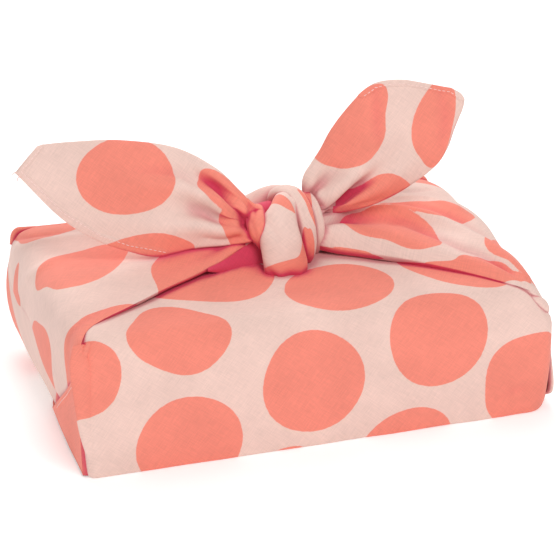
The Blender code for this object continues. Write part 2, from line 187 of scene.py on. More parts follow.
# %% Sections of the two pulls
# front fold x y z, back fold x y z, lean in degrees, rise, roll
LEFT_PULL = [
    (-118.0, -70, 0.6, -117.0, 72, 0.6, 0, 0.4, 1.0),
    (-121.0, -72, 8, -121.5, 76, 8, 0, 0.6, 1.2),
    (-124.5, -76, 30, -129.0, 77, 30, 0, 1.0, 1.5),
    (-125.4, -80, 55, -130.0, 77, 52, 10, 1.2, 1.6),
    (-124.5, -84.5, 69, -127.5, 76, 67, 42, 1.3, 1.8),
    (-118.5, -75.5, 74.6, -121.5, 73, 74.2, 72, 1.6, 2.2),
    (-109, -68, 76.2, -111, 70, 76.2, 86, 2.0, 2.4),
    (-94, -60, 77.8, -94, 65, 77.6, 90, 2.4, 2.3),
    (-72, -47, 80.0, -70, 50, 80.0, 90, 2.6, 2.4),
    (-54, -39, 82.2, -52, 34, 83.0, 90, 3.2, 2.8),
    (-38, -32, 85.0, -37, 18, 86.5, 90, 3.6, 3.4),
    (-26, -26, 88.0, -26, 6, 89.0, 90, 4.2, 4.2),
    (-14, -20, 90.0, -14, 0, 91.0, 90, 5.0, 4.6),
]
RIGHT_PULL = [
    (122.0, -68, 0.6, 121.0, 70, 0.6, 0, 0.6, 1.5),
    (129.5, -79, 5, 127.4, 76, 6, 0, 1.0, 2.0),
    (131.6, -83, 11, 128.4, 80, 16, 0, 1.2, 2.0),
    (128.6, -84, 32, 129.0, 81, 36, 0, 1.4, 2.0),
    (126.0, -84, 50, 129.0, 81, 58, 14, 1.4, 2.0),
    (123.0, -85, 60, 127.0, 81, 70, 40, 1.8, 2.2),
    (118.5, -87, 66.5, 122.0, 80, 75.4, 68, 4.0, 2.8),
    (111.5, -85, 70.8, 113, 76, 78.0, 82, 6.0, 3.0),
    (100, -76, 73.6, 98, 68, 80.4, 90, 7.0, 3.2),
    (79, -58, 76.6, 78, 53, 84.0, 90, 6.6, 3.4),
    (58, -43, 79.0, 58, 37, 87.0, 90, 6.8, 3.8),
    (40, -34, 81.0, 41, 23, 89.0, 90, 6.4, 4.2),
    (25, -28, 83.5, 27, 12, 90.5, 90, 6.4, 4.6),
    (12, -22, 87.0, 13, 4, 91.0, 90, 7.0, 4.8),
]
# place across the pull (0 front, 1 back), height, width share
LEFT_PLEATS = [(0.30, 0.8, 0.16), (0.62, -1.0, 0.10), (0.80, 1.0, 0.10)]
RIGHT_PLEATS = [
    (0.16, 1.6, 0.13),
    (0.34, -2.2, 0.09),
    (0.52, 1.8, 0.12),
    (0.70, -1.4, 0.07),
    (0.84, 1.0, 0.09),
]
ARCH_POWER = 2.4
PLEAT_FULL_ROLL = 0.0036

print(len(LEFT_PULL) + len(RIGHT_PULL), "pull sections")

# %% [markdown]
# An ear is a free corner of the square. Its sections are laid out in a flat plane of its own, which is then
# turned and tilted to where the ear stands, so its outline is drawn as if it lay on a table.

# %% Sections of the two ears
# facing and tilt in degrees, neck x y z
EAR_STANDS = {
    "left_ear": (-10.0, 30.0, (-19.7, -20.0, 101.5)),
    "right_ear": (-12.0, 20.0, (18.9, -9.0, 96.6)),
}
# top edge along and up, low edge along and up, bow, thick, neck folds
EAR_SECTIONS = {
    "left_ear": [
        (12, 2, 12, -8, -4, 7, 0.0),
        (2.4, 10.4, 1.7, -11.8, -2, 9, 1.0),
        (-10.1, 22.6, -12.5, -13.2, 3, 8, 2.2),
        (-24, 34.8, -27.6, -13.6, 5, 6, 2.4),
        (-40.4, 42.0, -47.0, -16.8, 6, 5, 1.3),
        (-64.0, 45.6, -62.8, -12.9, 6, 4.4, 0.4),
        (-85.0, 45.9, -78, -7.0, 5, 3.8, 0.0),
        (-100.6, 45.4, -97.0, 6.6, 3.5, 3.2, 0.0),
        (-106.4, 44.2, -118.4, 30.8, 1.0, 2.6, 0.0),
    ],
    "right_ear": [
        (-8, -3, 0, -11, -3, 10, 0.0),
        (-3.6, 0.2, 3.1, -5, -1, 10, 0.6),
        (-3.8, 9.2, 13.6, -0.2, 0, 9, 1.4),
        (-3.0, 18.6, 31.8, 2.9, 2, 7.5, 2.2),
        (3.2, 28.6, 49.8, 10.0, 4, 6, 2.2),
        (13.0, 43.9, 67.6, 22.0, 5, 5, 1.2),
        (21.7, 54.7, 75.6, 31.6, 4.5, 4.2, 0.4),
        (30.6, 64.2, 80.4, 43.2, 3.5, 3.6, 0.0),
        (36.8, 68.6, 85.6, 55.4, 2.4, 3.2, 0.0),
        (44.7, 70.0, 84.6, 61.0, 1.6, 2.8, 0.0),
        (54.0, 69.8, 79.0, 65.0, 1.0, 2.4, 0.0),
    ],
}
NECK_FOLDS = 2.5
EDGE_POWER = 4

print(sum(len(rows) for rows in EAR_SECTIONS.values()), "ear sections")

# %% [markdown]
# A tied knot is hard to trace as one ribbon, and most of it is hidden. So each band that shows is a row of
# oval sections turned about one line along the wrap. The small rolls are tubes along a path.

# %% Sections of the knot and of the small rolls
# turn in degrees from the top towards the front, x, radius, half width, half thickness
KNOT_BANDS = {
    "main_lobe": [
        (-40, 9, 12, 5, 4),
        (0, 5.5, 13.5, 5.5, 5),
        (35, 2.5, 18.5, 8, 6),
        (55, -1.8, 20, 10, 6.5),
        (75, -4.5, 22, 11.2, 7.2),
        (95, -4, 26, 11.8, 8),
        (112, -3.5, 32, 12, 7),
        (124, -3, 33, 11, 5),
        (142, -2, 28, 8, 4),
    ],
    "second_band": [
        (-50, 5, 14, 6, 5),
        (-15, 5, 15.5, 6, 5),
        (20, 7.5, 19.2, 6, 4.6),
        (50, 9.8, 20.5, 5.4, 4.6),
        (80, 10.8, 22, 4.8, 4.4),
        (105, 11.0, 24, 4.4, 4.0),
        (125, 10, 24, 4.2, 3.8),
        (150, 7, 20, 4, 3.5),
    ],
    "right_collar": [
        (-60, 15, 11, 5, 4),
        (0, 17, 13, 4.6, 4),
        (45, 18.4, 14, 4.0, 4),
        (90, 18.6, 16.5, 3.8, 4.2),
        (130, 17, 17, 4.0, 4),
        (170, 15, 14, 4, 4),
    ],
    "left_collar": [
        (-60, -10, 4, 5, 4),
        (-10, -11, 7, 5, 4),
        (35, -13.5, 14, 5, 4.6),
        (62, -15.8, 20, 5.4, 5.4),
        (85, -15.0, 20, 5.0, 5),
        (105, -11.5, 17, 4.4, 4),
        (135, -8, 11, 4, 3),
    ],
}
# x, y, z, half width, half thickness
ROLLS = {
    "front_left_fold": [
        (-116.2, -85.6, 1.9, 2.6, 1.6),
        (-117.2, -85.8, 6, 4.4, 2.0),
        (-121.0, -86.4, 25, 5.4, 2.1),
        (-123.8, -86.4, 48, 5.6, 2.2),
        (-124.8, -86.0, 62, 5.4, 2.4),
        (-124.5, -82.0, 71, 3.0, 2.4),
    ],
    "corner_tuck": [
        (-119.0, -83.6, 71.5, 1.6, 1.4),
        (-122.2, -85.0, 67.0, 2.0, 1.8),
        (-123.8, -83.6, 59.0, 1.6, 1.4),
    ],
    "right_gather_high": [
        (113.0, -84.0, 66.0, 2.0, 2.0),
        (118.8, -86.4, 63.5, 2.6, 2.2),
        (122.8, -84.8, 58.0, 2.6, 2.0),
        (124.2, -80.0, 52.0, 1.8, 1.8),
    ],
    "right_gather_low": [
        (118.0, -85.0, 59.0, 1.6, 1.6),
        (122.8, -86.0, 54.5, 2.2, 2.0),
        (125.2, -83.6, 48.0, 2.2, 2.0),
        (125.8, -79.0, 41.0, 1.6, 1.6),
    ],
    "back_left_tuck": [
        (-100.0, 79.0, 71.6, 1.4, 1.4),
        (-118.0, 80.0, 71.8, 2.0, 2.0),
        (-124.2, 80.3, 70.6, 2.6, 2.6),
        (-127.0, 78.0, 64.6, 2.0, 2.0),
    ],
    "back_right_tuck": [
        (114.0, 79.0, 73.0, 2.3, 2.3),
        (120.5, 81.0, 76.0, 2.6, 2.6),
        (125.0, 80.0, 70.0, 2.2, 2.2),
    ],
    "knot_back": [
        (-26, -2, 88, 8, 7),
        (-17, 8, 90.5, 10, 8),
        (-5, 12, 93.0, 11, 9),
        (7, 10, 97.0, 11, 8),
        (20, 2, 94, 9, 7),
    ],
}
# x, then y and z of the upper and of the lower edge
UNDER_FOLD = [
    (-46.0, -34.5, 83.5, -35.5, 81.5),
    (-38.0, -31.0, 84.8, -33.0, 79.0),
    (-28.0, -26.5, 87.5, -30.5, 76.6),
    (-18.0, -22.0, 90.0, -29.0, 76.4),
    (-10.0, -18.0, 90.0, -27.5, 76.4),
]
UNDER_BULGE = 1.2
STRIP_FRONT, STRIP_BACK, STRIP_HEIGHT = -83.5, 6.0, 58.3
STRIP_RAISE, STRIP_FOOT, STRIP_LEAST = 2.0, 0.0008, 0.0020
STRIP_SLOPE, STRIP_END_POWER = 1.5, 6
# how far the strip's front edge is turned in, along x, y and z, in metres
STRIP_TURNED_IN = (0.0060, -0.0022, 0.0)
print(len(KNOT_BANDS), "knot bands and", len(ROLLS), "rolls")

# %% [markdown]
# ## Sheets
# A sheet is a grid of points with a print place for each. smooth_rows puts sections between the measured
# ones, and print_sheet keeps the grid, its print places and which way is out, so that the folds can be
# pressed into it along its own normals before all sheets become one mesh.

# %% Helpers for sheets
SHEETS = []


def smooth_rows(rows, per_span):
    """Rows of a table with more rows put between them along a smooth curve."""
    table = np.array(rows, float)
    ends = np.vstack([2 * table[0] - table[1], table, 2 * table[-1] - table[-2]])
    out = []
    for i in range(len(table) - 1):
        before, here, there, after = ends[i : i + 4]
        for k in range(per_span):
            t = k / per_span
            step = (there - before) * t
            bend = (2 * before - 5 * here + 4 * there - after) * t**2
            turn = (3 * here - before - 3 * there + after) * t**3
            out.append(0.5 * (2 * here + step + bend + turn))
    out.append(table[-1])
    return np.array(out)


def grid_normals(points, ring, inside):
    """Unit normals of a grid of points, turned away from the inside point of each row."""
    down = np.gradient(points, axis=0)
    if ring:
        across = np.roll(points, -1, axis=1) - np.roll(points, 1, axis=1)
    else:
        across = np.gradient(points, axis=1)
    normals = np.cross(down, across)
    normals /= np.maximum(np.linalg.norm(normals, axis=2, keepdims=True), 1e-12)
    outward = (normals * (points - inside)).sum()
    return normals if outward > 0 else -normals


def soft_waves(u, v, seed, shortest, longest, count=10):
    """A smooth uneven field between about -1 and 1, the same on every run."""
    choice = np.random.RandomState(seed)
    total = np.zeros_like(u)
    for _ in range(count):
        angle, phase = choice.uniform(0, 2 * math.pi, 2)
        length = choice.uniform(shortest, longest)
        total += np.cos(2 * math.pi * (u * math.cos(angle) + v * math.sin(angle)) / length + phase)
    return total / math.sqrt(count)


def print_sheet(name, panel, points, places, ring=False, inside=None):
    """Keeps one sheet. Places are the flat print places of its points, in metres."""
    points = np.array(points, float)
    places = np.array(places, float)
    if inside is None:
        inside = points.mean(axis=1, keepdims=True)
    normals = grid_normals(points, ring, np.array(inside, float))
    sheet = {"name": name, "panel": panel, "points": points, "places": places, "normals": normals}
    sheet.update(ring=ring, inside=inside, depth=np.zeros(points.shape[:2]))
    SHEETS.append(sheet)
    print(name, points.shape[0], "x", points.shape[1])
    return sheet


# %% [markdown]
# ## Body
# The front corner of the square comes up over the front face and lies on the top. Rings run up the sides
# and then in over the top, and the print place simply adds height and depth, so a dot bends over the edge.
# A subdivided box would be quicker, but it has no such rows to lay the print on.

# %% Rings round the body
BODY_STEPS_CORNER, BODY_STEPS_LONG, BODY_STEPS_DEEP = 7, 104, 42
BODY_ROWS_PER_SPAN = 5
TOP_STEPS, BASE_STEPS = 40, 6
LEAST_RING = 0.02
BASE_PRINT_SHIFT = 0.2
BODY_MIDDLE = (0.0, 0.0, 0.035)


def outline(grow, rounding):
    """A rounded rectangle round the body, as points in order. Each corner has its own radius."""
    right, left = BODY_RIGHT + grow, BODY_LEFT - grow
    back, front = BODY_BACK + grow, BODY_FRONT - grow
    corners = (
        (right, back, 1, 1, RIGHT_BASE_RADIUS, 0),
        (left, back, -1, 1, RIGHT_BASE_RADIUS, 90),
        (left, front, -1, -1, LEFT_BASE_RADIUS, 180),
        (right, front, 1, -1, RIGHT_BASE_RADIUS, 270),
    )
    arcs = []
    for x, y, side_x, side_y, base_radius, start in corners:
        radius = CORNER_RADIUS + (base_radius - CORNER_RADIUS) * rounding
        arc = []
        for step in range(BODY_STEPS_CORNER + 1):
            angle = math.radians(start + 90 * step / BODY_STEPS_CORNER)
            arc.append((x + radius * (math.cos(angle) - side_x), y + radius * (math.sin(angle) - side_y)))
        arcs.append(arc)
    points = []
    for number, arc in enumerate(arcs):
        points += arc
        (x0, y0), (x1, y1) = arc[-1], arcs[(number + 1) % 4][0]
        steps = BODY_STEPS_LONG if number % 2 == 0 else BODY_STEPS_DEEP
        points += [(x0 + (x1 - x0) * k / steps, y0 + (y1 - y0) * k / steps) for k in range(1, steps)]
    return np.array(points)


def settled(x, y, z):
    """Points of the body once the cloth has settled: crowned top, soft right end, swollen left end."""
    along, across = x / BODY_RIGHT, y / BODY_BACK
    near_top = np.clip(1 - (1 - z / TOP_HEIGHT) / TOP_ZONE, 0, 1) ** 2
    crown = TOP_CROWN * np.maximum(0, 1 - along**2) * np.maximum(0, 1 - across**2)
    nearer_front = (1 - across) / 2
    drop = TOP_DROP_RIGHT * np.maximum(0, (along - DROP_START) / (1 - DROP_START)) ** 2 * nearer_front
    lift = TOP_RISE_LEFT * np.maximum(0, -along) * nearer_front
    swell = np.maximum(0, (-along - SWELL_START) / (1 - SWELL_START))
    swell = swell * np.clip((across + 1) / SWELL_REACH, 0, 1)
    belly = math.sin(math.pi * min(1.0, z / TOP_HEIGHT))
    tuck = LEFT_BASE_TUCK * swell * max(0.0, 1 - z / LEFT_TUCK_HEIGHT) ** TUCK_FADE
    pinch = CORNER_PINCH * np.clip((z - PINCH_START) / (TOP_HEIGHT - PINCH_START), 0, 1)
    pinch = pinch * np.maximum(0, (along - PINCH_ALONG) / (1 - PINCH_ALONG))
    pinch = pinch * np.maximum(0, (-across - PINCH_ACROSS) / (1 - PINCH_ACROSS))
    out_x = x - LEFT_END_SWELL * swell * belly + tuck - pinch
    return np.stack([out_x, y, z + near_top * (crown - drop + lift)], 1)


def body_rings(inset=0.0, lowest=0.0, base=True, table=BODY_TABLE):
    """Rings from the base up over the top, and their print places. Inset makes a layer that lies inside."""
    rings, places = [], []

    def add(ring, height):
        front_or_top = np.where((ring[:, 1] > 0) & (height < TOP_HEIGHT), 2 * TOP_HEIGHT - height, height)
        rings.append(ring)
        places.append(np.stack([ring[:, 0], front_or_top + ring[:, 1] - BODY_FRONT], 1))

    for height, bulge, cut, rounding in smooth_rows(table, BODY_ROWS_PER_SPAN):
        if height * MM < lowest:
            continue
        flat = outline(SIDE_BULGE * bulge - cut * MM - inset, rounding)
        ring = settled(flat[:, 0], flat[:, 1], height * MM)
        ring[:, 2] -= inset * (height * MM / TOP_HEIGHT)
        add(ring, height * MM)
    rim = rings[-1].copy()
    for share in np.linspace(1, LEAST_RING, TOP_STEPS)[1:]:
        ring = settled(rim[:, 0] * share, rim[:, 1] * share, TOP_HEIGHT)
        ring[:, 2] -= inset
        add(ring, TOP_HEIGHT)
    if base:
        foot = rings[0].copy()
        for share in np.linspace(1, LEAST_RING, BASE_STEPS)[1:]:
            rings.insert(0, foot * (share, share, 1))
            places.insert(0, np.stack([foot[:, 0] * share, foot[:, 1] * share - BASE_PRINT_SHIFT], 1))
    return rings, places


rings, places = body_rings()
print_sheet("body_wrap", "front", rings, places, ring=True, inside=BODY_MIDDLE)

# %% [markdown]
# ## Pulls
# Each pull gathers a whole end of the cloth into the knot. A section is an arch from the front fold to the
# back fold, rolled under at both, and pleats fan out from the knot as the arch narrows. They could be bent
# in by modifiers, but as part of the arch each stays at its own share of the width.

# %% Pulls over the ends
PULL_ROWS_PER_SPAN = 9
ARCH_POINTS, UNDER_POINTS = 89, 7
UNDER_TURN = 1.9


def pull_sheet(name, table, pleats, side):
    points, places = [], []
    rows = smooth_rows(table, PULL_ROWS_PER_SPAN)
    middles = (rows[:, 0:3] + rows[:, 3:6]) / 2 * MM
    steps = np.linalg.norm(np.diff(middles, axis=0), axis=1)
    from_knot = np.append(np.cumsum(steps[::-1])[::-1], 0.0)
    for row, middle, run in zip(rows, middles, from_knot):
        front, back = row[0:3] * MM, row[3:6] * MM
        lean = math.radians(row[6])
        rise, roll = row[7] * MM, row[8] * MM
        out = np.array([side * math.cos(lean), 0.0, math.sin(lean)])
        width = np.linalg.norm(back - front)
        inward = (back - front) / width
        place = (1 - np.cos(np.pi * np.arange(ARCH_POINTS) / (ARCH_POINTS - 1))) / 2
        from_middle = np.abs(2 * place - 1)
        arch = rise * (1 - from_middle**ARCH_POWER) + roll * np.sqrt(np.maximum(0, 1 - from_middle**2))
        ripple = sum(h * MM * np.exp(-(((place - m) / w) ** 2)) for m, h, w in pleats)
        ripple = ripple * min(1.0, roll / PLEAT_FULL_ROLL) * np.sqrt(np.maximum(0, np.sin(np.pi * place)))
        ring = front + np.outer(place, back - front) + np.outer(arch + ripple, out)
        turn = UNDER_TURN * np.arange(1, UNDER_POINTS + 1)[:, None] / UNDER_POINTS
        curl = roll * (1 - np.cos(turn)) * inward - roll * np.sin(turn) * out
        far_curl = back + curl - 2 * (curl @ inward)[:, None] * inward
        ring = np.vstack([(front + curl)[::-1], ring, far_curl])
        points.append(ring)
        flat_x = side * (run + abs(middles[-1][0])) + (ring[:, 0] - middle[0]) * row[6] / 90
        turned = np.arange(1, UNDER_POINTS + 1)
        under = np.concatenate([-turned[::-1], np.zeros(ARCH_POINTS), turned])
        places.append(np.stack([flat_x, ring[:, 1] + under * roll * 2 * UNDER_TURN / UNDER_POINTS], 1))
    return print_sheet(name, name, points, places, inside=BODY_MIDDLE)


pull_sheet("left_pull", LEFT_PULL, LEFT_PLEATS, -1)
pull_sheet("right_pull", RIGHT_PULL, RIGHT_PLEATS, 1)

# %% [markdown]
# ## Ears
# An ear is a corner of the square: two layers that meet in a soft fold on one side and end in a stitched
# hem on the other. It stands in its own plane, bowed a little, and creases where the knot squeezes it. One
# closed ring makes both layers, because Solidify would leave the folded side as sharp as the hem.

# %% Ears above the knot
EAR_ROWS_PER_SPAN = {"left_ear": 13, "right_ear": 10}
EAR_FRONT_POINTS, EAR_BACK_POINTS = 90, 24
EAR_THINNER = 0.75
FAR_LAYER_SHIFT = 0.25


def ear_axes(name):
    facing, tilt, neck = EAR_STANDS[name]
    turn, lean = math.radians(facing), math.radians(tilt)
    along = np.array([math.cos(turn), math.sin(turn), 0.0])
    up = np.array([-math.sin(turn) * math.sin(lean), math.cos(turn) * math.sin(lean), math.cos(lean)])
    face = np.array([math.sin(turn) * math.cos(lean), -math.cos(turn) * math.cos(lean), math.sin(lean)])
    return along, up, face, np.array(neck) * MM


def ear_sheet(name):
    along, up, face, neck = ear_axes(name)
    points, places = [], []
    front = (1 - np.cos(np.pi * np.arange(EAR_FRONT_POINTS) / (EAR_FRONT_POINTS - 1))) / 2
    back = (1 + np.cos(np.pi * np.arange(1, EAR_BACK_POINTS) / EAR_BACK_POINTS)) / 2
    place = np.concatenate([front, back])
    near_side = np.concatenate([np.ones(len(front)), -np.ones(len(back))])
    for row in smooth_rows(EAR_SECTIONS[name], EAR_ROWS_PER_SPAN[name]) * MM:
        top, low = row[0:2], row[2:4]
        bow, thick, fold = row[4:7]
        flat = top + np.outer(place, low - top)
        edge = np.sqrt(np.maximum(0, 1 - (2 * place - 1) ** EDGE_POWER))
        bend = bow * (1 - (2 * place - 1) ** 2)
        folds = fold * np.cos(2 * NECK_FOLDS * np.pi * place) * np.sin(np.pi * place)
        offset = bend + folds * (near_side > 0) + near_side * thick * EAR_THINNER / 2 * edge
        points.append(neck + np.outer(flat[:, 0], along) + np.outer(flat[:, 1], up) + np.outer(offset, face))
        shift = (near_side < 0)[:, None] * np.array([0.0, FAR_LAYER_SHIFT])
        places.append(flat + shift)
    return print_sheet(name, name, points, places, ring=True)


ear_sheet("left_ear")
ear_sheet("right_ear")

# %% [markdown]
# ## Knot
# The knot is the same cloth turned round itself: bands that pass from the top down over the front and
# back under. Each band is an oval section that follows its own turn, with fine folds along it. A rounded
# core stands for the cloth wound up in the middle, so that no daylight shows between the bands.

# %% Bands of the knot
BAND_ROWS_PER_SPAN, BAND_POINTS = 8, 56
INNER_SIDE_SHIFT = 0.2
KNOT_CORE_CENTRE, KNOT_CORE_SIZE = (-1.0, -5.0, 90.0), (18.0, 14.5, 14.5)
CORE_LEVELS, CORE_AROUND, CORE_REACH = 14, 28, 1.45


def band_sheet(name, table):
    points, places = [], []
    for turn, x, radius, half_width, half_thick in smooth_rows(table, BAND_ROWS_PER_SPAN):
        angle = math.radians(turn)
        outward = np.array([0.0, -math.sin(angle), math.cos(angle)])
        centre = np.array([x * MM, KNOT_Y, KNOT_Z]) + outward * radius * MM
        spin = 2 * np.pi * np.arange(BAND_POINTS) / BAND_POINTS
        wide, thick = half_width * MM * np.cos(spin), half_thick * MM * np.sin(spin)
        points.append(centre + np.outer(wide, (1.0, 0.0, 0.0)) + np.outer(thick, outward))
        places.append(np.stack([x * MM + wide, angle * radius * MM - (thick < 0) * INNER_SIDE_SHIFT], 1))
    return print_sheet(name, name, points, places, ring=True)


def core_sheet():
    """The cloth wound up in the middle of the knot, which closes the gaps between the bands."""
    points, places = [], []
    spin = 2 * np.pi * np.arange(CORE_AROUND) / CORE_AROUND
    for level in np.linspace(-CORE_REACH, CORE_REACH, CORE_LEVELS):
        wide, high = math.cos(level), np.full(CORE_AROUND, math.sin(level))
        around = np.stack([wide * np.cos(spin), wide * np.sin(spin), high], 1)
        ring = np.array(KNOT_CORE_CENTRE) + around * KNOT_CORE_SIZE
        points.append(ring * MM)
        places.append(np.stack([ring[:, 0], KNOT_CORE_SIZE[2] * (spin + level)], 1) * MM)
    # the core is wholly coral, and SHADED paints it in full shade, a dark crimson
    return print_sheet("knot_core", "knot_core", points, places, ring=True)


for name, table in KNOT_BANDS.items():
    band_sheet(name, table)
core_sheet()

# %% [markdown]
# ## Small folds and the corner on the left end
# Where the panels turn a corner the cloth is pinched into rolls, and on the left end the front corner's
# own hem shows as a low triangle that lies flat on the end. A roll stands out past the face behind it, so
# it is a closed tube of its own and isn't pressed into the body.

# %% Rolls and the end strip
ROLL_POINTS, ROLL_ROWS_PER_SPAN = 24, 8
UNDER_FOLD_POINTS = 24
STRIP_ROWS, STRIP_POINTS, STRIP_TUCK = 60, 40, 0.004
STEEP = 0.8


def roll_sheet(name, rows):
    table = smooth_rows(rows, ROLL_ROWS_PER_SPAN)
    points, places = [], []
    for number, (x, y, z, wide, thick) in enumerate(table):
        after, before = table[min(number + 1, len(table) - 1)][:3], table[max(number - 1, 0)][:3]
        tangent = (after - before) / np.linalg.norm(after - before)
        side = np.cross(tangent, (0.0, 1.0, 0.0) if abs(tangent[1]) < STEEP else (0.0, 0.0, 1.0))
        side /= np.linalg.norm(side)
        other = np.cross(side, tangent)
        spin = 2 * np.pi * np.arange(ROLL_POINTS) / ROLL_POINTS
        ring = np.array((x, y, z)) + np.outer(wide * np.cos(spin), side)
        ring = ring + np.outer(thick * np.sin(spin), other)
        points.append(ring * MM)
        places.append(np.stack([ring[:, 0], ring[:, 2] + ring[:, 1] - BODY_FRONT / MM], 1) * MM)
    panel = name if name in ("knot_back", "back_left_tuck") else "front"
    return print_sheet(name, panel, points, places, ring=True)


def end_strip():
    points, places = [], []
    for share in np.linspace(0, 1, STRIP_ROWS):
        y = (STRIP_FRONT + (STRIP_BACK - STRIP_FRONT) * share) * MM
        hem = max(STRIP_LEAST, STRIP_HEIGHT * MM * (1 - share) ** STRIP_SLOPE)
        raised = STRIP_RAISE * MM * (1 + share) * (1 - share**STRIP_END_POWER)
        heights = STRIP_FOOT + (hem - STRIP_FOOT) * np.linspace(0, 1, STRIP_POINTS)
        face = [settled(np.array([BODY_LEFT]), np.array([y]), z)[0][0] - raised for z in heights]
        ring = np.stack([face, np.full(STRIP_POINTS, y), heights], 1)
        tucked = ring[-1] + (STRIP_TUCK, 0.0, 0.0)
        points.append(np.vstack([ring, tucked]))
        places.append(np.stack([np.append(ring[:, 1], y), np.append(heights, hem + STRIP_TUCK)], 1))
    points.insert(0, points[0] + STRIP_TURNED_IN)
    places.insert(0, places[0] - (np.hypot(*STRIP_TURNED_IN[:2]), 0.0))
    return print_sheet("end_strip", "end_strip", points, places, inside=BODY_MIDDLE)


def under_fold():
    """The turned-under part of the left pull, in the shade between the pull's fold and the body's top."""
    points, places = [], []
    down = np.linspace(0, 1, UNDER_FOLD_POINTS)
    for x, y, high, low_y, low in smooth_rows(UNDER_FOLD, ROLL_ROWS_PER_SPAN):
        along = np.full(UNDER_FOLD_POINTS, x)
        depth = y + (low_y - y) * down - UNDER_BULGE * np.sin(np.pi * down)
        points.append(np.stack([along, depth, high + (low - high) * down], 1) * MM)
        places.append(np.stack([along, down * (high - low)], 1) * MM)
    sheet = print_sheet("under_fold", "under_fold", points, places, inside=BODY_MIDDLE)
    sheet["normals"] = sheet["normals"] * np.sign((sheet["normals"] @ np.array([0.0, -1.0, 0.0])).sum())


for name, rows in ROLLS.items():
    roll_sheet(name, rows)
end_strip()
under_fold()

# %% [markdown]
# ## Layers that lie inside
# A 70 cm square is much more cloth than shows. The back corner lies flat on the box under the front one,
# and both are turned in again, so those layers are cut here too, each a little further in.

# %% Layers inside
INNER_LAYERS = {
    # name: (inset in metres, lowest height in metres)
    "back_corner_layer": (0.0012, 0.006),
    "turned_in_layer": (0.0024, 0.040),
}
INNER_ROW_STEP, INNER_POINT_STEP = 3, 4
for name, (inset, lowest) in INNER_LAYERS.items():
    rings, places = body_rings(inset, lowest, base=False)
    rings = [ring[::INNER_POINT_STEP] for ring in rings[::INNER_ROW_STEP]]
    places = [place[::INNER_POINT_STEP] for place in places[::INNER_ROW_STEP]]
    print_sheet(name, "front", rings, places, ring=True, inside=BODY_MIDDLE)

# %% [markdown]
# ## Folds
# A fold is drawn as a line on the flat print: ridges are round, troughs are sharper. Folds could be sculpted
# on the mesh by hand, but a line with a height and a width can be moved or deepened by one number, and it
# follows the cloth round an edge.

# %% Press the folds
WAVE_HEIGHT = 0.00012
WAVE_SEED, SHORTEST_WAVE, LONGEST_WAVE = 7, 0.018, 0.060
FOLD_STEPS, TROUGH_ROUNDING = 16, 0.2
LOWEST_PRESS = -0.0024
FOLD_STRENGTH = {"left_ear": 1.5, "right_ear": 1.6, "right_pull": 1.4, "left_pull": 1.4}
